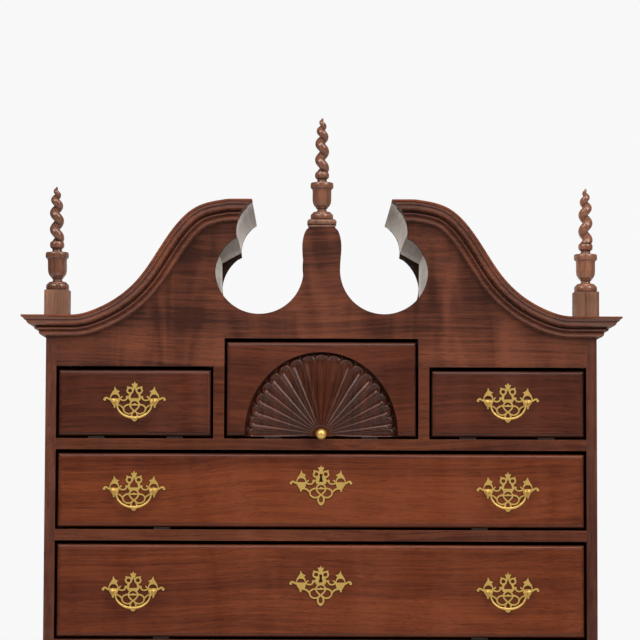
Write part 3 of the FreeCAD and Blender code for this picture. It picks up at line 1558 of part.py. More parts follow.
def pendant_shape():
    """Turned drop under one lobe of the apron."""
    radius = float(dim.pendant_radius)
    x = -float(divider_out - dim.divider_width / 2)
    y = float(low_front + dim.apron_thick / 2)
    runs = [
        [(0.1, -2.95), (0.26, -2.85), (0.34, -2.65), (0.26, -2.42), (0.2, -2.3)],
        [(0.2, -2.3), (0.42, -2.05), (0.82, -1.6), (0.95, -1.2), (0.84, -0.8), (0.46, -0.52)],
        [(0.46, -0.52), (0.6, -0.44), (0.64, -0.28), (0.6, -0.12), (0.5, 0)],
    ]
    scaled = [[(radius * out, radius * up) for out, up in run] for run in runs]
    return turned(scaled, Vector(x, y, float(dim.apron_lobe)))


def low_blades():
    """Top rail, the rail under the long drawer and the uprights of the short row."""
    across = (-low_inner, low_inner)
    deep = (low_front, low_front + dim.rail_depth)
    top = board("low_top_rail", across, deep, (dim.stand_height - dim.rail_height, dim.stand_height))
    middle = board("low_middle_rail", across, deep, (low_row_top, low_long))
    upright = board("low_upright", (-divider_out, -centre_half), deep, (low_short, low_row_top))
    return [top, middle] + both_sides("low_upright", upright)


def low_runners():
    """Guides, runners, partitions, bearers and stops inside the lower case."""
    y_blade = low_front + dim.rail_depth
    y_apron = low_front + dim.apron_thick
    y_back = back - dim.low_back_thick
    post_front = low_front + dim.post_size
    post_back = back - dim.post_size
    side_in = low_half - dim.low_side_thick
    reach = low_inner - dim.runner_width
    tall = dim.runner_height
    pieces = [
        ("low_long_runner", (-side_in, -reach), (y_blade, post_back), (low_long - tall, low_long)),
        ("low_long_guide", (-side_in, -low_inner), (y_blade, post_back), (low_long, low_long + tall * 2)),
        ("low_short_runner", (-side_in, -reach), (post_front, post_back), (low_short - tall, low_short)),
        (
            "low_short_guide",
            (-side_in, -low_inner),
            (post_front, post_back),
            (low_short, low_short + tall * 2),
        ),
        ("low_partition", (-divider_out, -centre_half), (y_blade, y_back), (low_centre - tall, low_row_top)),
        ("low_outer_runner", (-divider_out - dim.runner_width, -divider_out), (y_apron, y_back),
         (low_short - tall, low_short)),
        ("low_inner_runner", (-centre_half, -centre_half + dim.runner_width), (y_apron, y_back),
         (low_centre - tall, low_centre)),
        ("case_bearer", (-side_in, -(inner_half - dim.runner_width)), (y_blade, post_back),
         (dim.stand_height - tall, dim.stand_height)),
    ]
    rear_stop = (low_front + dim.drawer_length + dim.carcase_gap, y_back)
    inward = dim.runner_width / 2
    pieces += [
        (
            "low_short_stop",
            (-divider_out - dim.runner_width, -divider_out),
            rear_stop,
            (low_short, low_short + tall),
        ),
        ("low_fan_stop", (-centre_half, -centre_half + inward), rear_stop, (low_centre, low_centre + tall)),
    ]
    parts = []
    for name, x, y, z in pieces:
        parts += both_sides(name, board(name, x, y, z))
    parts += stop_pair("low_stop", low_long, Size.of(0), low_inner * 0.6, low_front)
    return parts


def waist_profile():
    """Section of the waist moulding: out from the upper case, up from the lower."""
    gap = float(dim.carcase_gap)
    out = float(dim.waist_step + dim.waist_lip)
    tall = float(dim.waist_height)

    def spot(reach, height):
        return Vector(0, -reach, height)

    edges = [
        line(spot(gap, 0), spot(out - 2, 0)),
        arc(spot(out - 2, 0), spot(out, tall * 0.12), spot(out - 2, tall * 0.24)),
        line(spot(out - 2, tall * 0.24), spot(out - 4, tall * 0.24)),
        arc(spot(out - 4, tall * 0.24), spot(out * 0.46, tall * 0.38), spot(out * 0.3, tall * 0.76)),
        line(spot(out * 0.3, tall * 0.76), spot(out * 0.22, tall * 0.76)),
        arc(spot(out * 0.22, tall * 0.76), spot(out * 0.19, tall * 0.92), spot(gap + 1, tall)),
        line(spot(gap + 1, tall), spot(gap, tall)),
        line(spot(gap, tall), spot(gap, 0)),
    ]
    return Part.Wire(edges)


def waist_pieces():
    """Front and left strips of the waist moulding, mitred together."""
    level = float(dim.stand_height)
    far = 3 * float(dim.waist_step)
    corner = at(-case_half, 0, float(front))
    out = corner + Vector(-far, -far, 0)
    inside = corner + Vector(float(case_half), float(case_half), 0)

    def wedge(third):
        points = [out, inside, third]
        corners = [point + Vector(0, 0, level - 1) for point in points + [points[0]]]
        face = Part.Face(Part.makePolygon(corners))
        return face.extrude(Vector(0, 0, far))

    front_profile = waist_profile()
    front_profile.translate(Vector(out.x, float(front), level))
    front_strip = Part.Face(front_profile).extrude(Vector(-2 * out.x, 0, 0))
    left_wedge = wedge(Vector(inside.x, out.y, 0))
    right_wedge = left_wedge.mirror(Vector(0, 0, 0), Vector(1, 0, 0))
    front_strip = front_strip.common(left_wedge.fuse(right_wedge))
    side_profile = waist_profile()
    side_profile.rotate(Vector(0, 0, 0), Vector(0, 0, 1), -90)
    side_profile.translate(Vector(-float(case_half), out.y, level))
    side_strip = Part.Face(side_profile).extrude(Vector(0, float(back) - out.y, 0))
    side_strip = side_strip.common(wedge(Vector(out.x, inside.y, 0)))
    return front_strip.removeSplitter(), side_strip


def knee_blocks(made_legs):
    """Six shaped brackets between the legs and the rails above them."""
    wide, tall, thick = float(dim.block_width), float(dim.block_height), float(dim.block_thick)
    top = float(dim.apron_low)
    reach = float(dim.post_size) / 2

    def bracket():
        """Drawn against a post whose inner face is the plane x = 0."""
        edges = [
            line(at(-reach, top), at(wide, top)),
            line(at(wide, top), at(wide, top - 7)),
            arc(at(wide, top - 7), at(wide * 0.42, top - tall * 0.42), at(wide * 0.16, top - tall)),
            line(at(wide * 0.16, top - tall), at(-reach, top - tall)),
            line(at(-reach, top - tall), at(-reach, top)),
        ]
        return prism(edges, 0, thick)

    x = -float(low_inner)
    y = float(low_front)
    side_y = float(low_front + dim.post_size)
    on_front = bracket()
    on_front.translate(Vector(x, y, 0))
    on_side = bracket().mirror(Vector(0, 0, 0), Vector(1, 0, 0))
    on_side.rotate(Vector(0, 0, 0), Vector(0, 0, 1), -90)
    on_side.translate(Vector(-float(low_half), side_y, 0))
    at_rear = on_side.mirror(Vector(0, 0, 0), Vector(0, 1, 0))
    parts = []
    for name, shape, leg in (
        ("block_front", on_front, "front_left_leg"),
        ("block_side", on_side, "front_left_leg"),
        ("block_rear", at_rear, "rear_left_leg"),
    ):
        parts += both_sides(name, cut(name, shaped(name + "_blank", shape), [made_legs[leg]]))
    return parts


# --------------------------------------------------------------------- assembly

def build_upper_case():
    left = upper_side("upper_left_side")
    node("upper_left_side", [left])
    node("upper_right_side", [mirrored("right_side", left)])
    node("upper_top_and_bottom", upper_boards())
    node("upper_blades", upper_blades())
    node("upper_runners", upper_runners())


def build_bonnet():
    opening = bonnet_opening()
    node("tympanum", [front_board(opening)])
    left = shaped("left_gooseneck", gooseneck_shape(opening))
    node("gooseneck_left", [left])
    node("gooseneck_right", [mirrored("right_gooseneck", left)])
    node("cornice_returns", both_sides("cornice_return", shaped("cornice_return", cornice_return_shape())))
    roof = roof_shape(opening)
    node("bonnet_roof", both_sides("roof", shaped("roof", roof)))
    node("scroll_linings", both_sides("lining", shaped("lining", lining_shapes(roof))))
    node("upper_back_boards", back_boards(opening))
    node("finial_plinths", plinths())
    x, y, z = side_plinth_centre()
    foot = z + dim.plinth_height
    node("finial_left", [finial("left_finial", x, y, foot, -1)])
    node("finial_right", [finial("right_finial", -x, y, foot, 1)])
    x, y, z = middle_plinth_centre()
    node("finial_centre", [finial("centre_finial", x, y, z + cap_height, -1)])


def build_lower_case():
    made_legs = legs()
    left = low_side_board("low_left_board")
    node("lower_left_side", [left])
    node("lower_right_side", [mirrored("low_right_board", left)])
    rear = board(
        "low_back",
        (-low_inner, low_inner),
        (back - dim.low_back_thick, back),
        (dim.apron_low, dim.stand_height),
    )
    node("lower_back", [rear])
    pendants = both_sides("pendant", shaped("pendant", pendant_shape()))
    node("front_apron", [shaped("apron", apron_shape())] + pendants)
    node("lower_blades", low_blades())
    node("lower_runners", low_runners())
    node("knee_blocks", knee_blocks(made_legs))
    front_strip, side_strip = waist_pieces()
    side = shaped("waist_side", side_strip)
    node("waist_moulding", [shaped("waist_front", front_strip)] + both_sides("waist_side", side))


def build_drawers():
    plate = pierced_plate(False)
    escutcheon = pierced_plate(True)
    bail = bail_shape()
    for opening in OPENINGS:
        node(opening.name, drawer(opening))
        stem = opening.name.replace("_drawer", "")
        node(stem + "_brass", [shaped(stem + "_fittings", fixed_brass(opening, plate, escutcheon))])
        places = pull_places(opening)
        for index, (x, z) in enumerate(places):
            side = "" if len(places) == 1 else ("_left", "_right")[index]
            name = stem + side + "_bail"
            handle = shaped(name + "_bow", bail)
            place(handle, x, opening.plane, z)
            node(name, [handle])


def check_and_export():
    doc.recompute()
    faults = [obj.Name for obj in doc.Objects if "Invalid" in obj.State or "Error" in obj.State]
    for name, obj in nodes.items():
        shape = obj.Shape
        if shape.isNull() or not shape.isValid() or not shape.Solids:
            faults.append(name)
    if faults:
        raise RuntimeError("failed: " + ", ".join(faults))
    os.makedirs("parts", exist_ok=True)
    for name, obj in nodes.items():
        obj.Shape.exportStep("parts/%s.step" % name)
    print("nodes:", len(nodes))


build_upper_case()
build_bonnet()
build_lower_case()
build_drawers()
check_and_export()
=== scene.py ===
# %% [markdown]
# # A bonnet-top highboy
# This lesson dresses a finished construction model: a tall chest of drawers with a scrolled
# pediment, in polished mahogany with gilt brasses. The boards, mouldings and legs already have
# their right shape, so most of the work here is finish: grain, polish, wax and wear, with painted
# shade in the corners and painted highlights on the edges.
# Only the carved fans and the finials with their flames are too fine for the construction model,
# and are built here as meshes.

# %% Load the construction model
import math

import bpy
import numpy as np
from mathutils import Matrix, Vector


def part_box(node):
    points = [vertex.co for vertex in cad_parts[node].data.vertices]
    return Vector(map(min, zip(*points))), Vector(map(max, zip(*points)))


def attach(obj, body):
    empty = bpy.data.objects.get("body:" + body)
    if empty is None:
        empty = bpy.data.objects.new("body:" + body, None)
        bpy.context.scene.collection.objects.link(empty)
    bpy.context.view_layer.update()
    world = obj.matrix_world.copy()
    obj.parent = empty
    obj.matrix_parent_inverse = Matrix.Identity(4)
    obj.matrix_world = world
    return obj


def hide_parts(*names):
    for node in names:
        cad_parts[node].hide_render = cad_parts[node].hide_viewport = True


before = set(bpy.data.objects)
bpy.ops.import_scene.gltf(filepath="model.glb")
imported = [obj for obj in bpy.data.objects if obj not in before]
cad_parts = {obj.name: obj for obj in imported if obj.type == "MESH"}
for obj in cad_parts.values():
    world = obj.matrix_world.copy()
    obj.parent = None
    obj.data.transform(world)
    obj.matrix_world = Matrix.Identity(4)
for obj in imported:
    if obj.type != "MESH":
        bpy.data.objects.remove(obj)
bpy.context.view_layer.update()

# %% [markdown]
# ## The camera
# A long lens stands a good way off, a little below the middle of the upper case and slightly to
# its left, and looks up by a few degrees. A long lens keeps the cornice and the drawers nearly
# parallel, as furniture is usually shown. The angles are set on the camera, not by a target
# object, so each one can be read and changed by itself.

# %% Place the camera
LENS, SENSOR_WIDTH = 146.0, 36.0
CAMERA_PLACE = Vector((-0.027, -5.0, 1.473))
PITCH, YAW, ROLL = 3.8, -0.287, 0.2

camera_data = bpy.data.cameras.new("camera")
camera_data.lens = LENS
camera_data.sensor_width = SENSOR_WIDTH
camera = bpy.data.objects.new("camera", camera_data)
bpy.context.scene.collection.objects.link(camera)
turn = Matrix.Rotation(math.radians(YAW), 4, "Z")
tilt = Matrix.Rotation(math.radians(90 + PITCH), 4, "X")
roll = Matrix.Rotation(math.radians(ROLL), 4, "Z")
camera.matrix_world = Matrix.Translation(CAMERA_PLACE) @ turn @ tilt @ roll
bpy.context.scene.camera = camera
print("camera at", tuple(round(v, 3) for v in CAMERA_PLACE))

# %% [markdown]
# ## The room
# A pale floor, a white surround and five large soft lamps. The surround is white only where the
# camera sees it: the object gets a soft, even light from it instead, and its reflections a dimmer
# one still, because a bright room all round would lay a pale veil over dark polished wood. Three
# lamps stand high in front, so that the undersides of the mouldings stay dark and their upper
# edges catch the light. Two more stand behind, where a lit backdrop would be: they reach the
# boards that line the cut-outs of the pediment, and no surface that faces the front. They are
# left out of reflections, where they would bleach the rims of the turned pieces. Away from the
# piece the floor fades into the surround, for the camera alone, as a sweep of paper does: near the
# feet it keeps the shadow, and no light comes from the fade.

# %% Helpers for shader nodes
def add(tree, kind, sockets=None, **settings):
    """Adds a shader node. sockets maps an input's name or number to a value or an output."""
    made = tree.nodes.new("ShaderNode" + kind)
    for key, value in settings.items():
        setattr(made, key, value)
    for key, value in (sockets or {}).items():
        if isinstance(value, bpy.types.NodeSocket):
            tree.links.new(value, made.inputs[key])
        else:
            made.inputs[key].default_value = value
    return made


def mix_colours(tree, factor, first, second, mode="MIX"):
    made = add(tree, "Mix", {0: factor, 6: first, 7: second}, data_type="RGBA", blend_type=mode)
    return made.outputs[2]


def compute(tree, operation, first, second=0.0, clamp=False):
    return add(tree, "Math", {0: first, 1: second}, operation=operation, use_clamp=clamp).outputs[0]


def spread(tree, value, low, high, to_low=0.0, to_high=1.0):
    """Maps value from low..high to to_low..to_high, and holds it there."""
    sockets = {"Value": value, "From Min": low, "From Max": high, "To Min": to_low,
               "To Max": to_high}
    return add(tree, "MapRange", sockets).outputs["Result"]


# %% The surround
BACKDROP, ROOM_TINT = (0.94, 0.94, 0.945, 1), (1.0, 0.985, 0.965, 1)
ROOM_LIGHT, ROOM_IN_REFLECTIONS = 0.28, 0.10

world = bpy.data.worlds.new("surround")
world.use_nodes = True
world.node_tree.nodes.clear()
room = world.node_tree
path = add(room, "LightPath").outputs
seen = compute(room, "MAXIMUM", path["Is Camera Ray"], path["Is Transmission Ray"])
strength = spread(room, path["Is Glossy Ray"], 0.0, 1.0, ROOM_LIGHT, ROOM_IN_REFLECTIONS)
soft = add(room, "Background", {"Color": ROOM_TINT, "Strength": strength})
white = add(room, "Background", {"Color": BACKDROP, "Strength": 1.0})
either = add(room, "MixShader", {0: seen, 1: soft.outputs[0], 2: white.outputs[0]})
add(room, "OutputWorld", {"Surface": either.outputs[0]})
bpy.context.scene.world = world
bpy.context.scene.view_settings.view_transform = "Standard"
print("surround:", world.name)


# %% The floor
FLOOR_REACH, FLOOR_TINT = 9.0, (0.82, 0.81, 0.8, 1)
FADE_START, FADE_END = 1.2, 4.0


def new_piece(name, verts, faces, material):
    """A mesh object of one material, in the scene."""
    mesh = bpy.data.meshes.new(name)
    mesh.from_pydata(verts, [], faces)
    mesh.materials.append(material)
    made = bpy.data.objects.new(name, mesh)
    bpy.context.scene.collection.objects.link(made)
    return made


floor_paint = bpy.data.materials.new("pale_floor")
floor_paint.use_nodes = True
floor_tree = floor_paint.node_tree
floor_skin = floor_tree.nodes["Principled BSDF"]
floor_skin.inputs["Base Color"].default_value = FLOOR_TINT
floor_skin.inputs["Roughness"].default_value = 0.8
spot = add(floor_tree, "TexCoord").outputs["Object"]
away = add(floor_tree, "VectorMath", {0: spot}, operation="LENGTH").outputs["Value"]
fade = compute(floor_tree, "MULTIPLY", spread(floor_tree, away, FADE_START, FADE_END),
               add(floor_tree, "LightPath").outputs["Is Camera Ray"])
glow = add(floor_tree, "Emission", {"Color": BACKDROP, "Strength": 1.0})
floor_look = add(floor_tree, "MixShader", {0: fade, 1: floor_skin.outputs[0], 2: glow.outputs[0]})
floor_tree.links.new(floor_look.outputs[0], floor_tree.nodes["Material Output"].inputs["Surface"])
directions = ((-1, -1), (1, -1), (1, 1), (-1, 1))
floor_corners = [(FLOOR_REACH * x, FLOOR_REACH * y, 0) for x, y in directions]
floor = new_piece("floor", floor_corners, [(0, 1, 2, 3)], floor_paint)
print("floor:", 2 * FLOOR_REACH, "m wide")


# %% The lamps
def lamp(name, place, aim, width, height, watts, colour):
    data = bpy.data.lights.new(name, "AREA")
    data.shape = "RECTANGLE"
    data.size, data.size_y, data.energy, data.color = width, height, watts, colour
    made = bpy.data.objects.new(name, data)
    made.location = place
    made.rotation_euler = (Vector(aim) - Vector(place)).to_track_quat("-Z", "Y").to_euler()
    bpy.context.scene.collection.objects.link(made)
    return made


lamp("left_lamp", (-2.5, -2.9, 4.1), (0, -0.2, 1.6), 1.8, 1.8, 70, (1.0, 0.97, 0.93))
lamp("right_lamp", (2.6, -2.8, 3.9), (0, -0.2, 1.5), 1.8, 2.0, 84, (1.0, 0.98, 0.96))
lamp("top_lamp", (0.2, -1.6, 4.2), (0, -0.1, 1.5), 2.6, 1.2, 44, (1.0, 0.98, 0.95))
for side in (-1, 1):
    place = (2.6 * side, 2.6, 2.7)
    back_lamp = lamp("back_lamp", place, (0, 0.1, 1.9), 1.8, 1.8, 55, (1.0, 0.985, 0.97))
    back_lamp.visible_glossy = False
print("lamps: 5")

# %% [markdown]
# ## Wood grain
# Polished mahogany has broad bands of tone, fine streaks, short dark pores and a ribbon sheen
# that crosses the grain. Each of these is the same soft noise, stretched by a different amount
# along the board. The group below is built once and placed in every wood with its own colours;
# the x axis of its input runs along the grain.

# %% The grain group
BAND_SHARE, STREAK_SHARE = 0.55, 0.45
TONE_LOW, TONE_HIGH = 0.385, 0.615
PORE_TINT, DRIFT = (0.22, 0.16, 0.14, 1), (0.0, 0.07, 0.07)


def new_group(name, inputs, outputs):
    """A shader group with named sockets; returns the tree and its two end nodes."""
    tree = bpy.data.node_groups.new(name, "ShaderNodeTree")
    for kind, label, value in inputs:
        kind = "NodeSocket" + kind
        socket = tree.interface.new_socket(name=label, in_out="INPUT", socket_type=kind)
        if value is not None:
            socket.default_value = value
    for kind, label in outputs:
        tree.interface.new_socket(name=label, in_out="OUTPUT", socket_type="NodeSocket" + kind)
    return tree, tree.nodes.new("NodeGroupInput").outputs, tree.nodes.new("NodeGroupOutput").inputs


def vectors(tree, operation, first, second):
    return add(tree, "VectorMath", {0: first, 1: second}, operation=operation).outputs[0]


def stretched_noise(tree, place, scale, detail, roughness=0.55, distortion=0.0):
    stretched = add(tree, "Mapping", {"Vector": place, "Scale": scale}).outputs[0]
    sockets = {"Vector": stretched, "Scale": 1.0, "Detail": detail, "Roughness": roughness,
               "Distortion": distortion}
    return add(tree, "TexNoise", sockets).outputs["Fac"]


def build_grain_group():
    tree, given, result = new_group(
        "wood_grain",
        [("Vector", "Place", None), ("Color", "Dark", (0.05, 0.015, 0.008, 1)),
         ("Color", "Light", (0.2, 0.06, 0.03, 1)), ("Float", "Ribbon", 0.3),
         ("Float", "Pores", 0.5)],
        [("Color", "Color"), ("Float", "Height"), ("Float", "Sheen")],
    )
    drift = add(tree, "TexNoise", {"Vector": given["Place"], "Scale": 1.6, "Detail": 2.0})
    drift = drift.outputs["Color"]
    drift = vectors(tree, "SUBTRACT", drift, (0.5, 0.5, 0.5))
    drift = vectors(tree, "MULTIPLY", drift, DRIFT)
    place = vectors(tree, "ADD", given["Place"], drift)
    bands = stretched_noise(tree, place, (0.8, 12.0, 12.0), 4.0)
    streaks = stretched_noise(tree, place, (3.4, 210.0, 210.0), 4.0, 0.66)
    ribbon = stretched_noise(tree, place, (13.0, 2.4, 2.4), 2.0, 0.5, 1.4)
    pores = spread(tree, stretched_noise(tree, place, (45.0, 950.0, 950.0), 1.0), 0.56, 0.68)
    tone = compute(tree, "MULTIPLY", bands, BAND_SHARE)
    tone = compute(tree, "ADD", tone, compute(tree, "MULTIPLY", streaks, STREAK_SHARE))
    swing = compute(tree, "MULTIPLY", compute(tree, "SUBTRACT", ribbon, 0.5), given["Ribbon"])
    tone = compute(tree, "ADD", tone, swing)
    tone = spread(tree, tone, TONE_LOW, TONE_HIGH)
    colour = mix_colours(tree, tone, given["Dark"], given["Light"])
    strength = compute(tree, "MULTIPLY", pores, given["Pores"])
    colour = mix_colours(tree, strength, colour, PORE_TINT, "MULTIPLY")
    height = compute(tree, "SUBTRACT", compute(tree, "MULTIPLY", streaks, 0.35), strength)
    tree.links.new(colour, result["Color"])
    tree.links.new(height, result["Height"])
    tree.links.new(ribbon, result["Sheen"])
    return tree


grain_group = build_grain_group()
print("group:", grain_group.name, "nodes:", len(grain_group.nodes))

# %% [markdown]
# ## Age: rubbed edges and dust in the corners
# Two centuries of polishing rub the colour from the edges and leave dark wax in the quirks of
# the mouldings. Here the lighter edges are partly that wear and partly a painted highlight, and
# the dark corners partly that wax and partly painted shade, where the hollows fall into shadow.
# An edge is found by comparing the true normal with one rounded over a small radius, and a corner
# by how much of the sky it sees. Both are masks, so they are groups too.

# %% The edge and corner groups
def build_edge_group():
    tree, given, result = new_group(
        "rubbed_and_highlit_edge", [("Float", "Radius", 0.002)], [("Float", "Mask")])
    # The mask is high on edges: the woods lighten there, partly as wear and partly as a painted
    # highlight.
    rounded = add(tree, "Bevel", {"Radius": given["Radius"]}, samples=4).outputs[0]
    true = add(tree, "NewGeometry").outputs["Normal"]
    alike = add(tree, "VectorMath", {0: rounded, 1: true}, operation="DOT_PRODUCT").outputs["Value"]
    noise = add(tree, "TexNoise", {"Scale": 60.0, "Detail": 3.0}).outputs["Fac"]
    edge = spread(tree, alike, 0.985, 0.80)
    tree.links.new(compute(tree, "MULTIPLY", edge, spread(tree, noise, 0.35, 0.65)), result["Mask"])
    return tree


def build_corner_group():
    tree, given, result = new_group("wax_tarnish_and_shade_corner", [("Float", "Reach", 0.02)], [("Float", "Mask")])
    # The mask is high in hollows: the woods darken there with wax and painted shade, the brass with
    # tarnish.
    sky = add(tree, "AmbientOcclusion", {"Distance": given["Reach"]}, samples=6).outputs["AO"]
    tree.links.new(spread(tree, sky, 0.85, 0.25), result["Mask"])
    return tree


edge_group = build_edge_group()
corner_group = build_corner_group()
print("groups:", edge_group.name, corner_group.name)

# %% [markdown]
# ## The woods
# One function makes every wood. The grain runs up the stiles, plinths and legs and along the
# rails and drawer fronts, so the function takes the direction. Its colours differ a little from
# board to board: the drawer fronts are darker and redder than the case, and the turned and square
# pieces at the top are lighter. Nobody polishes the inner boards and the back: the bonnet's boards
# are pale and dry, and the back boards are very dark, partly old dark wood and partly painted shade
# for where they lie in shadow behind the cut-outs of the pediment.

# %% Make a wood
ALONG = {"x": (0, 0, 0), "z": (0, math.radians(90), 0), "y": (0, 0, math.radians(90))}
RUBBED_RADIUS, SOFT_EDGE, PORE_RELIEF, COAT_ROUGHNESS = 0.0016, 0.0008, 0.0004, 0.22
WOODS = {}


def group_node(tree, group, sockets):
    return add(tree, "Group", sockets, node_tree=group).outputs


def wood(name, along, dark, light, shift, ribbon, pores=0.5, polish=0.36, gloss=0.3,
         coat=0.15, wear_and_highlight=0.35, wax_and_shade=0.6, reach=0.016):
    """Makes one wood and keeps it in WOODS.

    ribbon, pores, wear and wax say how strong the sheen across the grain, the pores, the lighter
    rubbed edges and the dark corners are. The lighter edges are partly rubbed wood and partly a
    painted highlight, and the dark corners partly old polish and partly painted shade. polish is
    the roughness, and reach the size of a corner.
    """
    material = bpy.data.materials.new(name)
    material.use_nodes = True
    tree = material.node_tree
    tree.nodes.clear()
    coords = add(tree, "TexCoord").outputs["Object"]
    start = (shift, shift * 0.37, shift * 0.71)
    place = add(tree, "Mapping", {"Vector": coords, "Rotation": ALONG[along], "Location": start})
    place = place.outputs[0]
    grain = group_node(tree, grain_group, {"Place": place, "Dark": (*dark, 1), "Light": (*light, 1),
                                           "Ribbon": ribbon, "Pores": pores})
    edge = group_node(tree, edge_group, {"Radius": RUBBED_RADIUS})
    corner = group_node(tree, corner_group, {"Reach": reach})
    # Rubbed edges are lightened: partly wear and partly a painted highlight.
    worn_and_highlit = tuple(min(1.0, 1.5 * value + 0.02) for value in light)
    wear_and_highlight_share = compute(tree, "MULTIPLY", edge["Mask"], wear_and_highlight)
    colour = mix_colours(tree, wear_and_highlight_share, grain["Color"], (*worn_and_highlit, 1))
    # Corners are darkened towards this colour: partly dark wax and partly painted shade.
    wax_and_shade_tint = tuple(value * 0.35 for value in dark)
    colour = mix_colours(tree, compute(tree, "MULTIPLY", corner["Mask"], wax_and_shade), colour, (*wax_and_shade_tint, 1))
    rough = spread(tree, grain["Sheen"], 0.3, 0.7, polish - 0.06, polish + 0.08)
    rough = compute(tree, "ADD", rough, compute(tree, "MULTIPLY", corner["Mask"], 0.25))
    soft_normal = add(tree, "Bevel", {"Radius": SOFT_EDGE}, samples=4).outputs[0]
    bump = add(tree, "Bump", {"Strength": 0.35, "Distance": PORE_RELIEF, "Height": grain["Height"],
                              "Normal": soft_normal}).outputs[0]
    surface = add(tree, "BsdfPrincipled", {"Base Color": colour, "Roughness": rough, "Normal": bump,
                                           "Specular IOR Level": gloss, "Coat Weight": coat,
                                           "Coat Roughness": COAT_ROUGHNESS})
    add(tree, "OutputMaterial", {"Surface": surface.outputs[0]})
    WOODS[name] = material


# %% The woods of this piece
# In each wood, wax sets how dark the corners turn: partly wax and partly painted shade.
# wear sets how light the edges turn: partly wear and partly a painted highlight.
wood("case_rails", "x", (0.062, 0.014, 0.006), (0.175, 0.048, 0.019), 0.0, ribbon=0.12)
wood("case_stiles", "z", (0.06, 0.016, 0.009), (0.145, 0.047, 0.027), 1.3, ribbon=0.12)
wood("pediment", "x", (0.05, 0.015, 0.009), (0.185, 0.053, 0.025), 2.1, ribbon=0.42)
wood("moulding", "x", (0.08, 0.02, 0.009), (0.26, 0.072, 0.031), 3.7, ribbon=0.2, wax_and_shade=1.0,
     reach=0.009, polish=0.2, gloss=0.55, coat=0.3)
wood("drawer_dark", "x", (0.042, 0.009, 0.004), (0.128, 0.031, 0.013), 4.4, ribbon=0.15)
wood("drawer_red", "x", (0.085, 0.015, 0.004), (0.205, 0.046, 0.013), 5.9, ribbon=0.15)
wood("turned", "z", (0.12, 0.045, 0.024), (0.3, 0.12, 0.066), 7.3, ribbon=0.1, wax_and_shade=1.0,
     reach=0.011, polish=0.2, gloss=0.55, coat=0.35)
wood("plinth", "z", (0.1, 0.044, 0.026), (0.31, 0.15, 0.095), 6.6, ribbon=0.12, wax_and_shade=0.8,
     reach=0.01, polish=0.32)
wood("leg", "z", (0.062, 0.015, 0.007), (0.18, 0.052, 0.022), 8.8, ribbon=0.12)
wood("soft_wood", "y", (0.6, 0.54, 0.49), (0.8, 0.75, 0.71), 9.1, ribbon=0.05, pores=0.15,
     polish=0.75, gloss=0.1, coat=0.0, wear_and_highlight=0.1, wax_and_shade=0.25)
# Nearly black: partly old wood and partly painted shade behind the cut-outs.
wood("back_wood", "x", (0.028, 0.016, 0.011), (0.07, 0.042, 0.028), 6.2, ribbon=0.05, pores=0.2,
     polish=0.75, gloss=0.1, coat=0.0, wear_and_highlight=0.1, wax_and_shade=0.4)
# The fan is darker than the drawer front round it: its dark ground and grooves are partly wax and
# partly painted shade, its lighter lips partly wear and partly a painted highlight.
wood("fan", "z", (0.013, 0.0037, 0.0018), (0.1, 0.025, 0.011), 4.9, ribbon=0.1, polish=0.19,
     gloss=0.34, coat=0.0, wax_and_shade=1.0, wear_and_highlight=0.9, reach=0.006)
print("woods:", ", ".join(WOODS))

# %% [markdown]
# ## Gilt brass
# The pulls are cast, filed and gilded, and then left matt. A pure mirror would show the dark room
# in front of it, while matt gilding scatters light as paint does. So the surface is part metal
# and part pigment, with a middling roughness that a fine noise breaks up, and the pierced edges
# and the ground between them turn a little brown.

# %% Make the brass
TARNISH_REACH, TARNISH_SHARE, CAST_EDGE = 0.004, 0.75, 0.0005


def brass(name, colour, deep, rough, metal):
    material = bpy.data.materials.new(name)
    material.use_nodes = True
    tree = material.node_tree
    tree.nodes.clear()
    coords = add(tree, "TexCoord").outputs["Object"]
    cloud = add(tree, "TexNoise", {"Vector": coords, "Scale": 90.0, "Detail": 4.0}).outputs["Fac"]
    fine = add(tree, "TexNoise", {"Vector": coords, "Scale": 1400.0, "Detail": 2.0}).outputs["Fac"]
    corner = group_node(tree, corner_group, {"Reach": TARNISH_REACH})
    tarnish = compute(tree, "MULTIPLY", corner["Mask"], TARNISH_SHARE)
    tint = mix_colours(tree, spread(tree, cloud, 0.35, 0.7, 0.0, 0.35), (*colour, 1), (*deep, 1))
    tint = mix_colours(tree, tarnish, tint, tuple(0.45 * value for value in deep) + (1,))
    roughness = spread(tree, fine, 0.3, 0.7, rough - 0.06, rough + 0.1)
    soft_normal = add(tree, "Bevel", {"Radius": CAST_EDGE}, samples=4).outputs[0]
    bump = add(tree, "Bump", {"Strength": 0.25, "Distance": 0.0001, "Height": fine,
                              "Normal": soft_normal}).outputs[0]
    surface = add(tree, "BsdfPrincipled", {"Base Color": tint, "Metallic": metal,
                                           "Roughness": roughness, "Normal": bump})
    add(tree, "OutputMaterial", {"Surface": surface.outputs[0]})
    return material


gilt = brass("gilt_brass", (0.86, 0.58, 0.17), (0.64, 0.37, 0.07), 0.36, 0.6)
print("brass:", gilt.name)

# %% [markdown]
# ## The carved fans
# Each middle drawer has a fan of nineteen lobes in a sunk half oval. On the real drawer every
# lobe is a gouge cut that widens from the hub to a rounded end, with a narrow lip left round it
# and a V cut between neighbours. The construction model has the sunk oval, the lobes' outline and
# their plain hollows. Here a fine skin lies on it: a fan of rays from the hub, where each point's
# depth follows from its distance to its lobe's edge. Past the lobes' ends it drops to the sunk
# ground, and a half-round hub with a thin lip covers its middle.

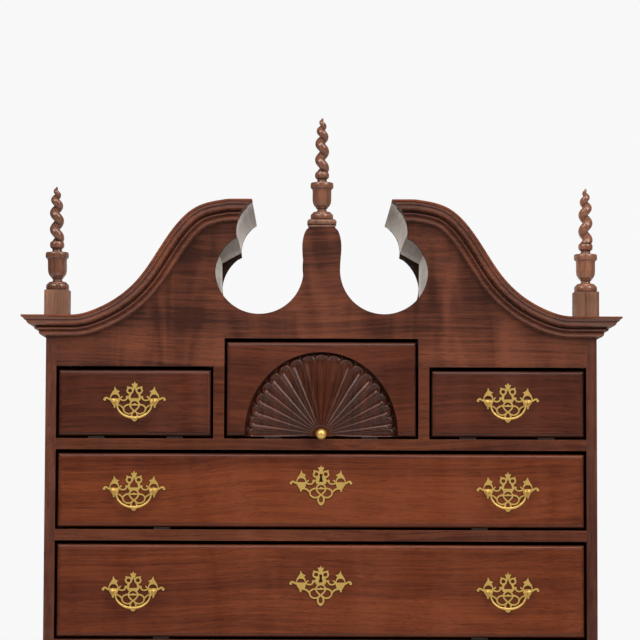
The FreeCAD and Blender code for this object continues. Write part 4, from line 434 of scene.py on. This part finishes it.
# %% Model the skin of one fan
LOBES, RAYS_PER_LOBE, ROWS = 19, 28, 120
LOBE_STEP = math.radians(10.0)
LEVEL_REACH, UPRIGHT_REACH = 0.1345, 0.148  # from the hub's middle to the lobes' ends
FAN_START, FRONT_EDGE_DROP = 0.0155, 0.004  # the front's lower edge lies a little below the hub
LIP_DEPTH, CUT_DEPTH, HOLLOW = 0.0008, 0.00245, 0.005  # below the drawer's face
LIP_WIDTH, HALF_CUT = 0.0013, 0.00035
LEAST_LIP, WIDE_LOBE, LIP_CREST = 0.35, 0.008, 0.45  # the lip narrows with its lobe
END_FULLNESS, END_SCALLOP = 0.86, 0.055  # how round each lobe's end is
GROUND_DEPTH, GROUND_LEVEL_REACH, GROUND_UPRIGHT_REACH = 0.00885, 0.14185, 0.15235
HUB_RADIUS, HUB_LIP, HUB_FLOOR = 0.0205, 0.0016, 0.0021
HUB_STEPS, HUB_TURNS = 24, 49
CLEAR = 0.0002


def smooth_step(low, high, value):
    share = np.clip((value - low) / (high - low), 0.0, 1.0)
    return share * share * (3 - 2 * share)


def half_oval(angles, level_reach, upright_reach):
    """Reach from the middle to an oval, for every angle."""
    return 1 / np.hypot(np.cos(angles) / level_reach, np.sin(angles) / upright_reach)


def fan_depth(radius, offset, reach):
    """Depth below the drawer's face at a radius and at an angle from the lobe's middle."""
    across = np.abs(radius * offset)
    half = radius * LOBE_STEP / 2 - HALF_CUT
    end_half = reach * LOBE_STEP / 2 * END_FULLNESS
    end_middle = reach - end_half
    side = half - across
    past = np.maximum(radius - end_middle, 0.0)
    rounded = end_half - np.hypot(across, past)
    inside = np.where(radius > end_middle, np.minimum(side, rounded), side)
    lip_foot = LIP_WIDTH * np.clip(half / WIDE_LOBE, LEAST_LIP, 1.0)
    lip = CUT_DEPTH + (LIP_DEPTH - CUT_DEPTH) * smooth_step(0.0, LIP_CREST * lip_foot, inside)
    lip = np.where(inside < 0, CUT_DEPTH, lip)
    depth = HOLLOW * np.clip(half / end_half, 0.0, 1.0)
    inward = np.clip((inside - lip_foot) / np.maximum(half - lip_foot, 1e-5), 0.0, 1.0)
    return lip + depth * (1 - (1 - inward) ** 2)


def grid_faces(rows, columns, first):
    """Quads of a grid of vertices that starts at the given index."""
    row, column = np.meshgrid(np.arange(rows - 1), np.arange(columns - 1), indexing="ij")
    corner = (first + row * columns + column).ravel()
    return np.stack([corner, corner + 1, corner + columns + 1, corner + columns], axis=-1)


def hub_skin(middle, face, first):
    """Half-round hub at the front's lower edge: a thin lip round a shallow hollow."""
    profile = np.array([
        (CLEAR, HUB_FLOOR - CLEAR), (HUB_RADIUS - 3 * HUB_LIP, HUB_FLOOR),
        (HUB_RADIUS - HUB_LIP, 0.0009), (HUB_RADIUS - HUB_LIP / 2, 0.0005), (HUB_RADIUS, 0.0010),
        (HUB_RADIUS + CLEAR / 2, HUB_FLOOR + 2 * CLEAR),
    ])
    along = np.linspace(0, len(profile) - 1, HUB_STEPS)
    reach = np.interp(along, range(len(profile)), profile[:, 0])
    depth = np.interp(along, range(len(profile)), profile[:, 1])
    angles = np.linspace(0, math.pi, HUB_TURNS)
    x = middle.x + reach[:, None] * np.cos(angles)
    z = middle.z - FRONT_EDGE_DROP + CLEAR / 2 + reach[:, None] * np.sin(angles)
    y = np.broadcast_to(face + depth[:, None], x.shape)
    return np.stack([x, y, z], axis=-1).reshape(-1, 3), grid_faces(HUB_STEPS, HUB_TURNS, first)


def fan_skin(name, drawer, brass_node):
    """A skin over the carving of one drawer; the ball knob marks the fan's middle."""
    low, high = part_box(brass_node)
    middle = (low + high) / 2
    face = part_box(drawer)[0].y
    count = LOBES * RAYS_PER_LOBE + 1
    angles = np.linspace(-LOBE_STEP / 2, math.pi + LOBE_STEP / 2, count)
    offset = (angles + LOBE_STEP / 2) % LOBE_STEP - LOBE_STEP / 2
    reach = half_oval(angles, LEVEL_REACH, UPRIGHT_REACH)
    arch = np.sqrt(np.clip(1 - (2 * offset / LOBE_STEP) ** 2, 0, 1))
    below = np.maximum(-np.sin(angles), 1e-6)
    lowest = np.where(np.sin(angles) < 0, FRONT_EDGE_DROP / below, 1.0)
    edge = np.minimum(reach * (1 - END_SCALLOP + END_SCALLOP * arch) - CLEAR, lowest)
    ground_edge = np.minimum(half_oval(angles, GROUND_LEVEL_REACH, GROUND_UPRIGHT_REACH), lowest)
    share = np.linspace(0.0, 1.0, ROWS)[:, None]
    radius = FAN_START + (edge[None, :] - FAN_START) * share
    depth = fan_depth(radius, offset[None, :], reach[None, :])
    from_hub = np.hypot(radius * np.cos(angles), radius * np.sin(angles) + FRONT_EDGE_DROP)
    depth = np.where(from_hub < HUB_RADIUS - 0.001, np.maximum(depth, HUB_FLOOR + CLEAR / 4), depth)
    radius = np.concatenate([radius, edge[None, :], ground_edge[None, :]])
    depth = np.concatenate([depth, np.full((2, count), GROUND_DEPTH)])
    x = middle.x + radius * np.cos(angles)
    z = middle.z + radius * np.sin(angles)
    verts = np.stack([x, face + depth, z], axis=-1).reshape(-1, 3)
    quads = grid_faces(ROWS + 2, count, 0)
    hub_verts, hub_faces = hub_skin(middle, face, len(verts))
    verts, quads = np.concatenate([verts, hub_verts]), np.concatenate([quads, hub_faces])
    skin = new_piece(name, verts.tolist(), quads.tolist(), WOODS["fan"])
    skin.data.polygons.foreach_set("use_smooth", [True] * len(quads))
    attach(skin, drawer)
    return skin


for fan_name in ("upper_fan", "lower_fan"):
    made = fan_skin(fan_name + "_carving", fan_name + "_drawer", fan_name + "_brass")
    print(made.name, "faces:", len(made.data.polygons))

# %% [markdown]
# ## The flame finials
# A finial is turned on the lathe, and its flame is then carved as one thick strand that winds up
# round the axis like a corkscrew. The construction model has the urn and a plain twisted core.
# The finer piece here has the worn profile of the urn, and its strand is a round tube along a
# helix: at each height a ray goes out from the axis in every direction, and the farthest point
# where it leaves the tube is the carved surface. The middle and left strands wind one way and
# the right one the other way, and the left finial has sunk a little to one side with age.

# %% Model the finials
FINIAL_TALL, FLAME_FOOT, FLAME_SHOWS = 0.1925, 0.0886, 0.0912  # heights above the plinth
STRAND, STRAND_OFFSET = 0.0083, 0.0044  # the tube's radius, and its middle's distance from the axis
STRAND_TURNS, STRAND_START = 4.4, 0.29  # in turns
STRAND_SWELL, TIP_RADIUS, TURNED_CORNER = 0.0005, 0.0003, math.radians(42)
FINIAL_SIDES, URN_RINGS, FLAME_RINGS, STRAND_SAMPLES = 72, 190, 240, 45

# The turned outline in millimetres, as distance from the axis and height, from the foot upwards
FOOT = [(19.6, 0), (20.7, 1.2), (21.1, 3.5), (21.1, 7.5), (20.4, 10.4), (18.8, 12.2)]
FOOT_STEP = [(17.2, 12.8), (17.1, 13.6), (16.0, 15.0)]
WAIST = [(12.6, 15.9), (9.8, 16.4), (8.7, 17.8), (8.5, 19.4), (8.9, 21.2)]
WAIST_RING = [(10.6, 21.8), (10.8, 23.6)]
BOWL = [(12.6, 25.0), (15.0, 28.0), (16.5, 31.4), (17.3, 35.6), (17.5, 40.0), (17.5, 54.6)]
RIM_COVE = [(17.9, 57.0), (18.3, 57.6), (18.4, 58.6)]
RIM = [(20.4, 59.4), (21.2, 61.4), (21.4, 64.0), (21.2, 67.6), (20.6, 69.8), (19.6, 70.4)]
NECK = [(10.8, 70.6), (9.4, 71.6), (8.9, 73.6), (9.0, 76.4), (10.2, 77.8)]
BEAD = [(11.8, 78.6), (12.9, 80.6), (13.2, 83.4), (13.1, 86.2), (12.4, 88.6), (11.0, 90.4)]
BEAD_TOP = [(9.6, 91.0)]
URN = FOOT + FOOT_STEP + WAIST + WAIST_RING + BOWL + RIM_COVE + RIM + NECK + BEAD + BEAD_TOP


def strand_state(height, twist):
    """Direction and fullness of the strand at a height, as (angle, share of its full size)."""
    share = np.clip((height - FLAME_FOOT) / (FINIAL_TALL - FLAME_FOOT), 0.0, 1.0)
    turns = STRAND_TURNS * (0.75 * share + 0.25 * share ** 5.5) - STRAND_START
    return 2 * math.pi * turns * twist, (1 - share ** 5) ** 0.85


def flame_surface(heights, angles, twist):
    """Distance of the carved surface from the axis, for every height and angle."""
    spread_out = np.linspace(-0.99, 0.99, STRAND_SAMPLES)[None, :, None]
    near = heights[:, None, None] + STRAND * spread_out
    turn, full = strand_state(near, twist)
    tube, offset = STRAND * full + STRAND_SWELL, STRAND_OFFSET * full
    away = angles[None, None, :] - turn
    inside = tube ** 2 - (near - heights[:, None, None]) ** 2 - (offset * np.sin(away)) ** 2
    reach = offset * np.cos(away) + np.sqrt(np.maximum(inside, 0.0))
    return np.where(inside > 0, reach, TIP_RADIUS).max(axis=1)


def ring_faces(rings):
    """Quads round a stack of rings, with one face over each end."""
    faces = []
    for start in range(0, (rings - 1) * FINIAL_SIDES, FINIAL_SIDES):
        for index in range(FINIAL_SIDES):
            here, after = start + index, start + (index + 1) % FINIAL_SIDES
            faces.append((here, after, after + FINIAL_SIDES, here + FINIAL_SIDES))
    bottom, top = range(FINIAL_SIDES), range((rings - 1) * FINIAL_SIDES, rings * FINIAL_SIDES)
    return faces + [tuple(reversed(bottom)), tuple(top)]


def carved_finial(name, node, twist, lean):
    """Urn and flame in the place of a plain finial; lean moves the tip aside."""
    low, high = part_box(node)
    middle, foot = (low + high) / 2, high.z - FINIAL_TALL
    angles = np.linspace(0, 2 * math.pi, FINIAL_SIDES, endpoint=False)
    corners = np.array(URN) / 1000
    travel = np.concatenate([[0], np.cumsum(np.hypot(*np.diff(corners, axis=0).T))])
    along = np.linspace(0, travel[-1], URN_RINGS)
    urn_reach, urn_heights = (np.interp(along, travel, corners[:, column]) for column in (0, 1))
    flame_heights = np.linspace(FLAME_SHOWS, FINIAL_TALL - CLEAR, FLAME_RINGS)
    radius = np.concatenate([np.repeat(urn_reach[:, None], FINIAL_SIDES, axis=1),
                             flame_surface(flame_heights, angles, twist)])
    height = np.broadcast_to(np.concatenate([urn_heights, flame_heights])[:, None], radius.shape)
    x = middle.x + lean * height / FINIAL_TALL + radius * np.cos(angles)
    y = middle.y + radius * np.sin(angles)
    verts = np.stack([x, y, foot + height], axis=-1).reshape(-1, 3)
    made = new_piece(name, verts.tolist(), ring_faces(len(radius)), WOODS["turned"])
    made.data.polygons.foreach_set("use_smooth", [True] * len(made.data.polygons))
    made.data.set_sharp_from_angle(angle=TURNED_CORNER)
    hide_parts(node)
    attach(made, "case")
    return made


OLD_LEAN = -0.004
for side, twist, lean in (("left", -1, OLD_LEAN), ("centre", -1, 0.0), ("right", 1, 0.0)):
    made = carved_finial("carved_finial_" + side, "finial_" + side, twist, lean)
    print(made.name, "faces:", len(made.data.polygons))

# %% [markdown]
# ## Dress the construction model
# Each board and casting gets its finish by name. The construction model already shades its turned
# and bent surfaces smoothly and keeps its edges crisp, so nothing else is needed here.

# %% Give every board its finish
BOARDS = {
    "case_stiles": ("upper_left_side", "upper_right_side"),
    "case_rails": ("upper_blades", "lower_left_side", "lower_right_side", "front_apron",
                   "lower_blades"),
    "pediment": ("tympanum",),
    "moulding": ("gooseneck_left", "gooseneck_right", "cornice_returns", "waist_moulding"),
    "plinth": ("finial_plinths",),
    "turned": ("finial_left", "finial_centre", "finial_right"),
    "leg": ("front_left_leg", "front_right_leg", "rear_left_leg", "rear_right_leg", "knee_blocks"),
    "soft_wood": ("upper_runners", "bonnet_roof", "scroll_linings", "lower_runners"),
    "back_wood": ("upper_top_and_bottom", "upper_back_boards", "lower_back"),
}
FINISH = {board: WOODS[name] for name, boards in BOARDS.items() for board in boards}


def finish_of(node_name):
    if node_name in FINISH:
        return FINISH[node_name]
    if node_name.endswith(("_bail", "_brass")):
        return gilt
    return WOODS["drawer_red" if "long" in node_name else "drawer_dark"]


for node_name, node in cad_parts.items():
    node.data.materials.clear()
    node.data.materials.append(finish_of(node_name))
print("dressed:", len(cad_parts))
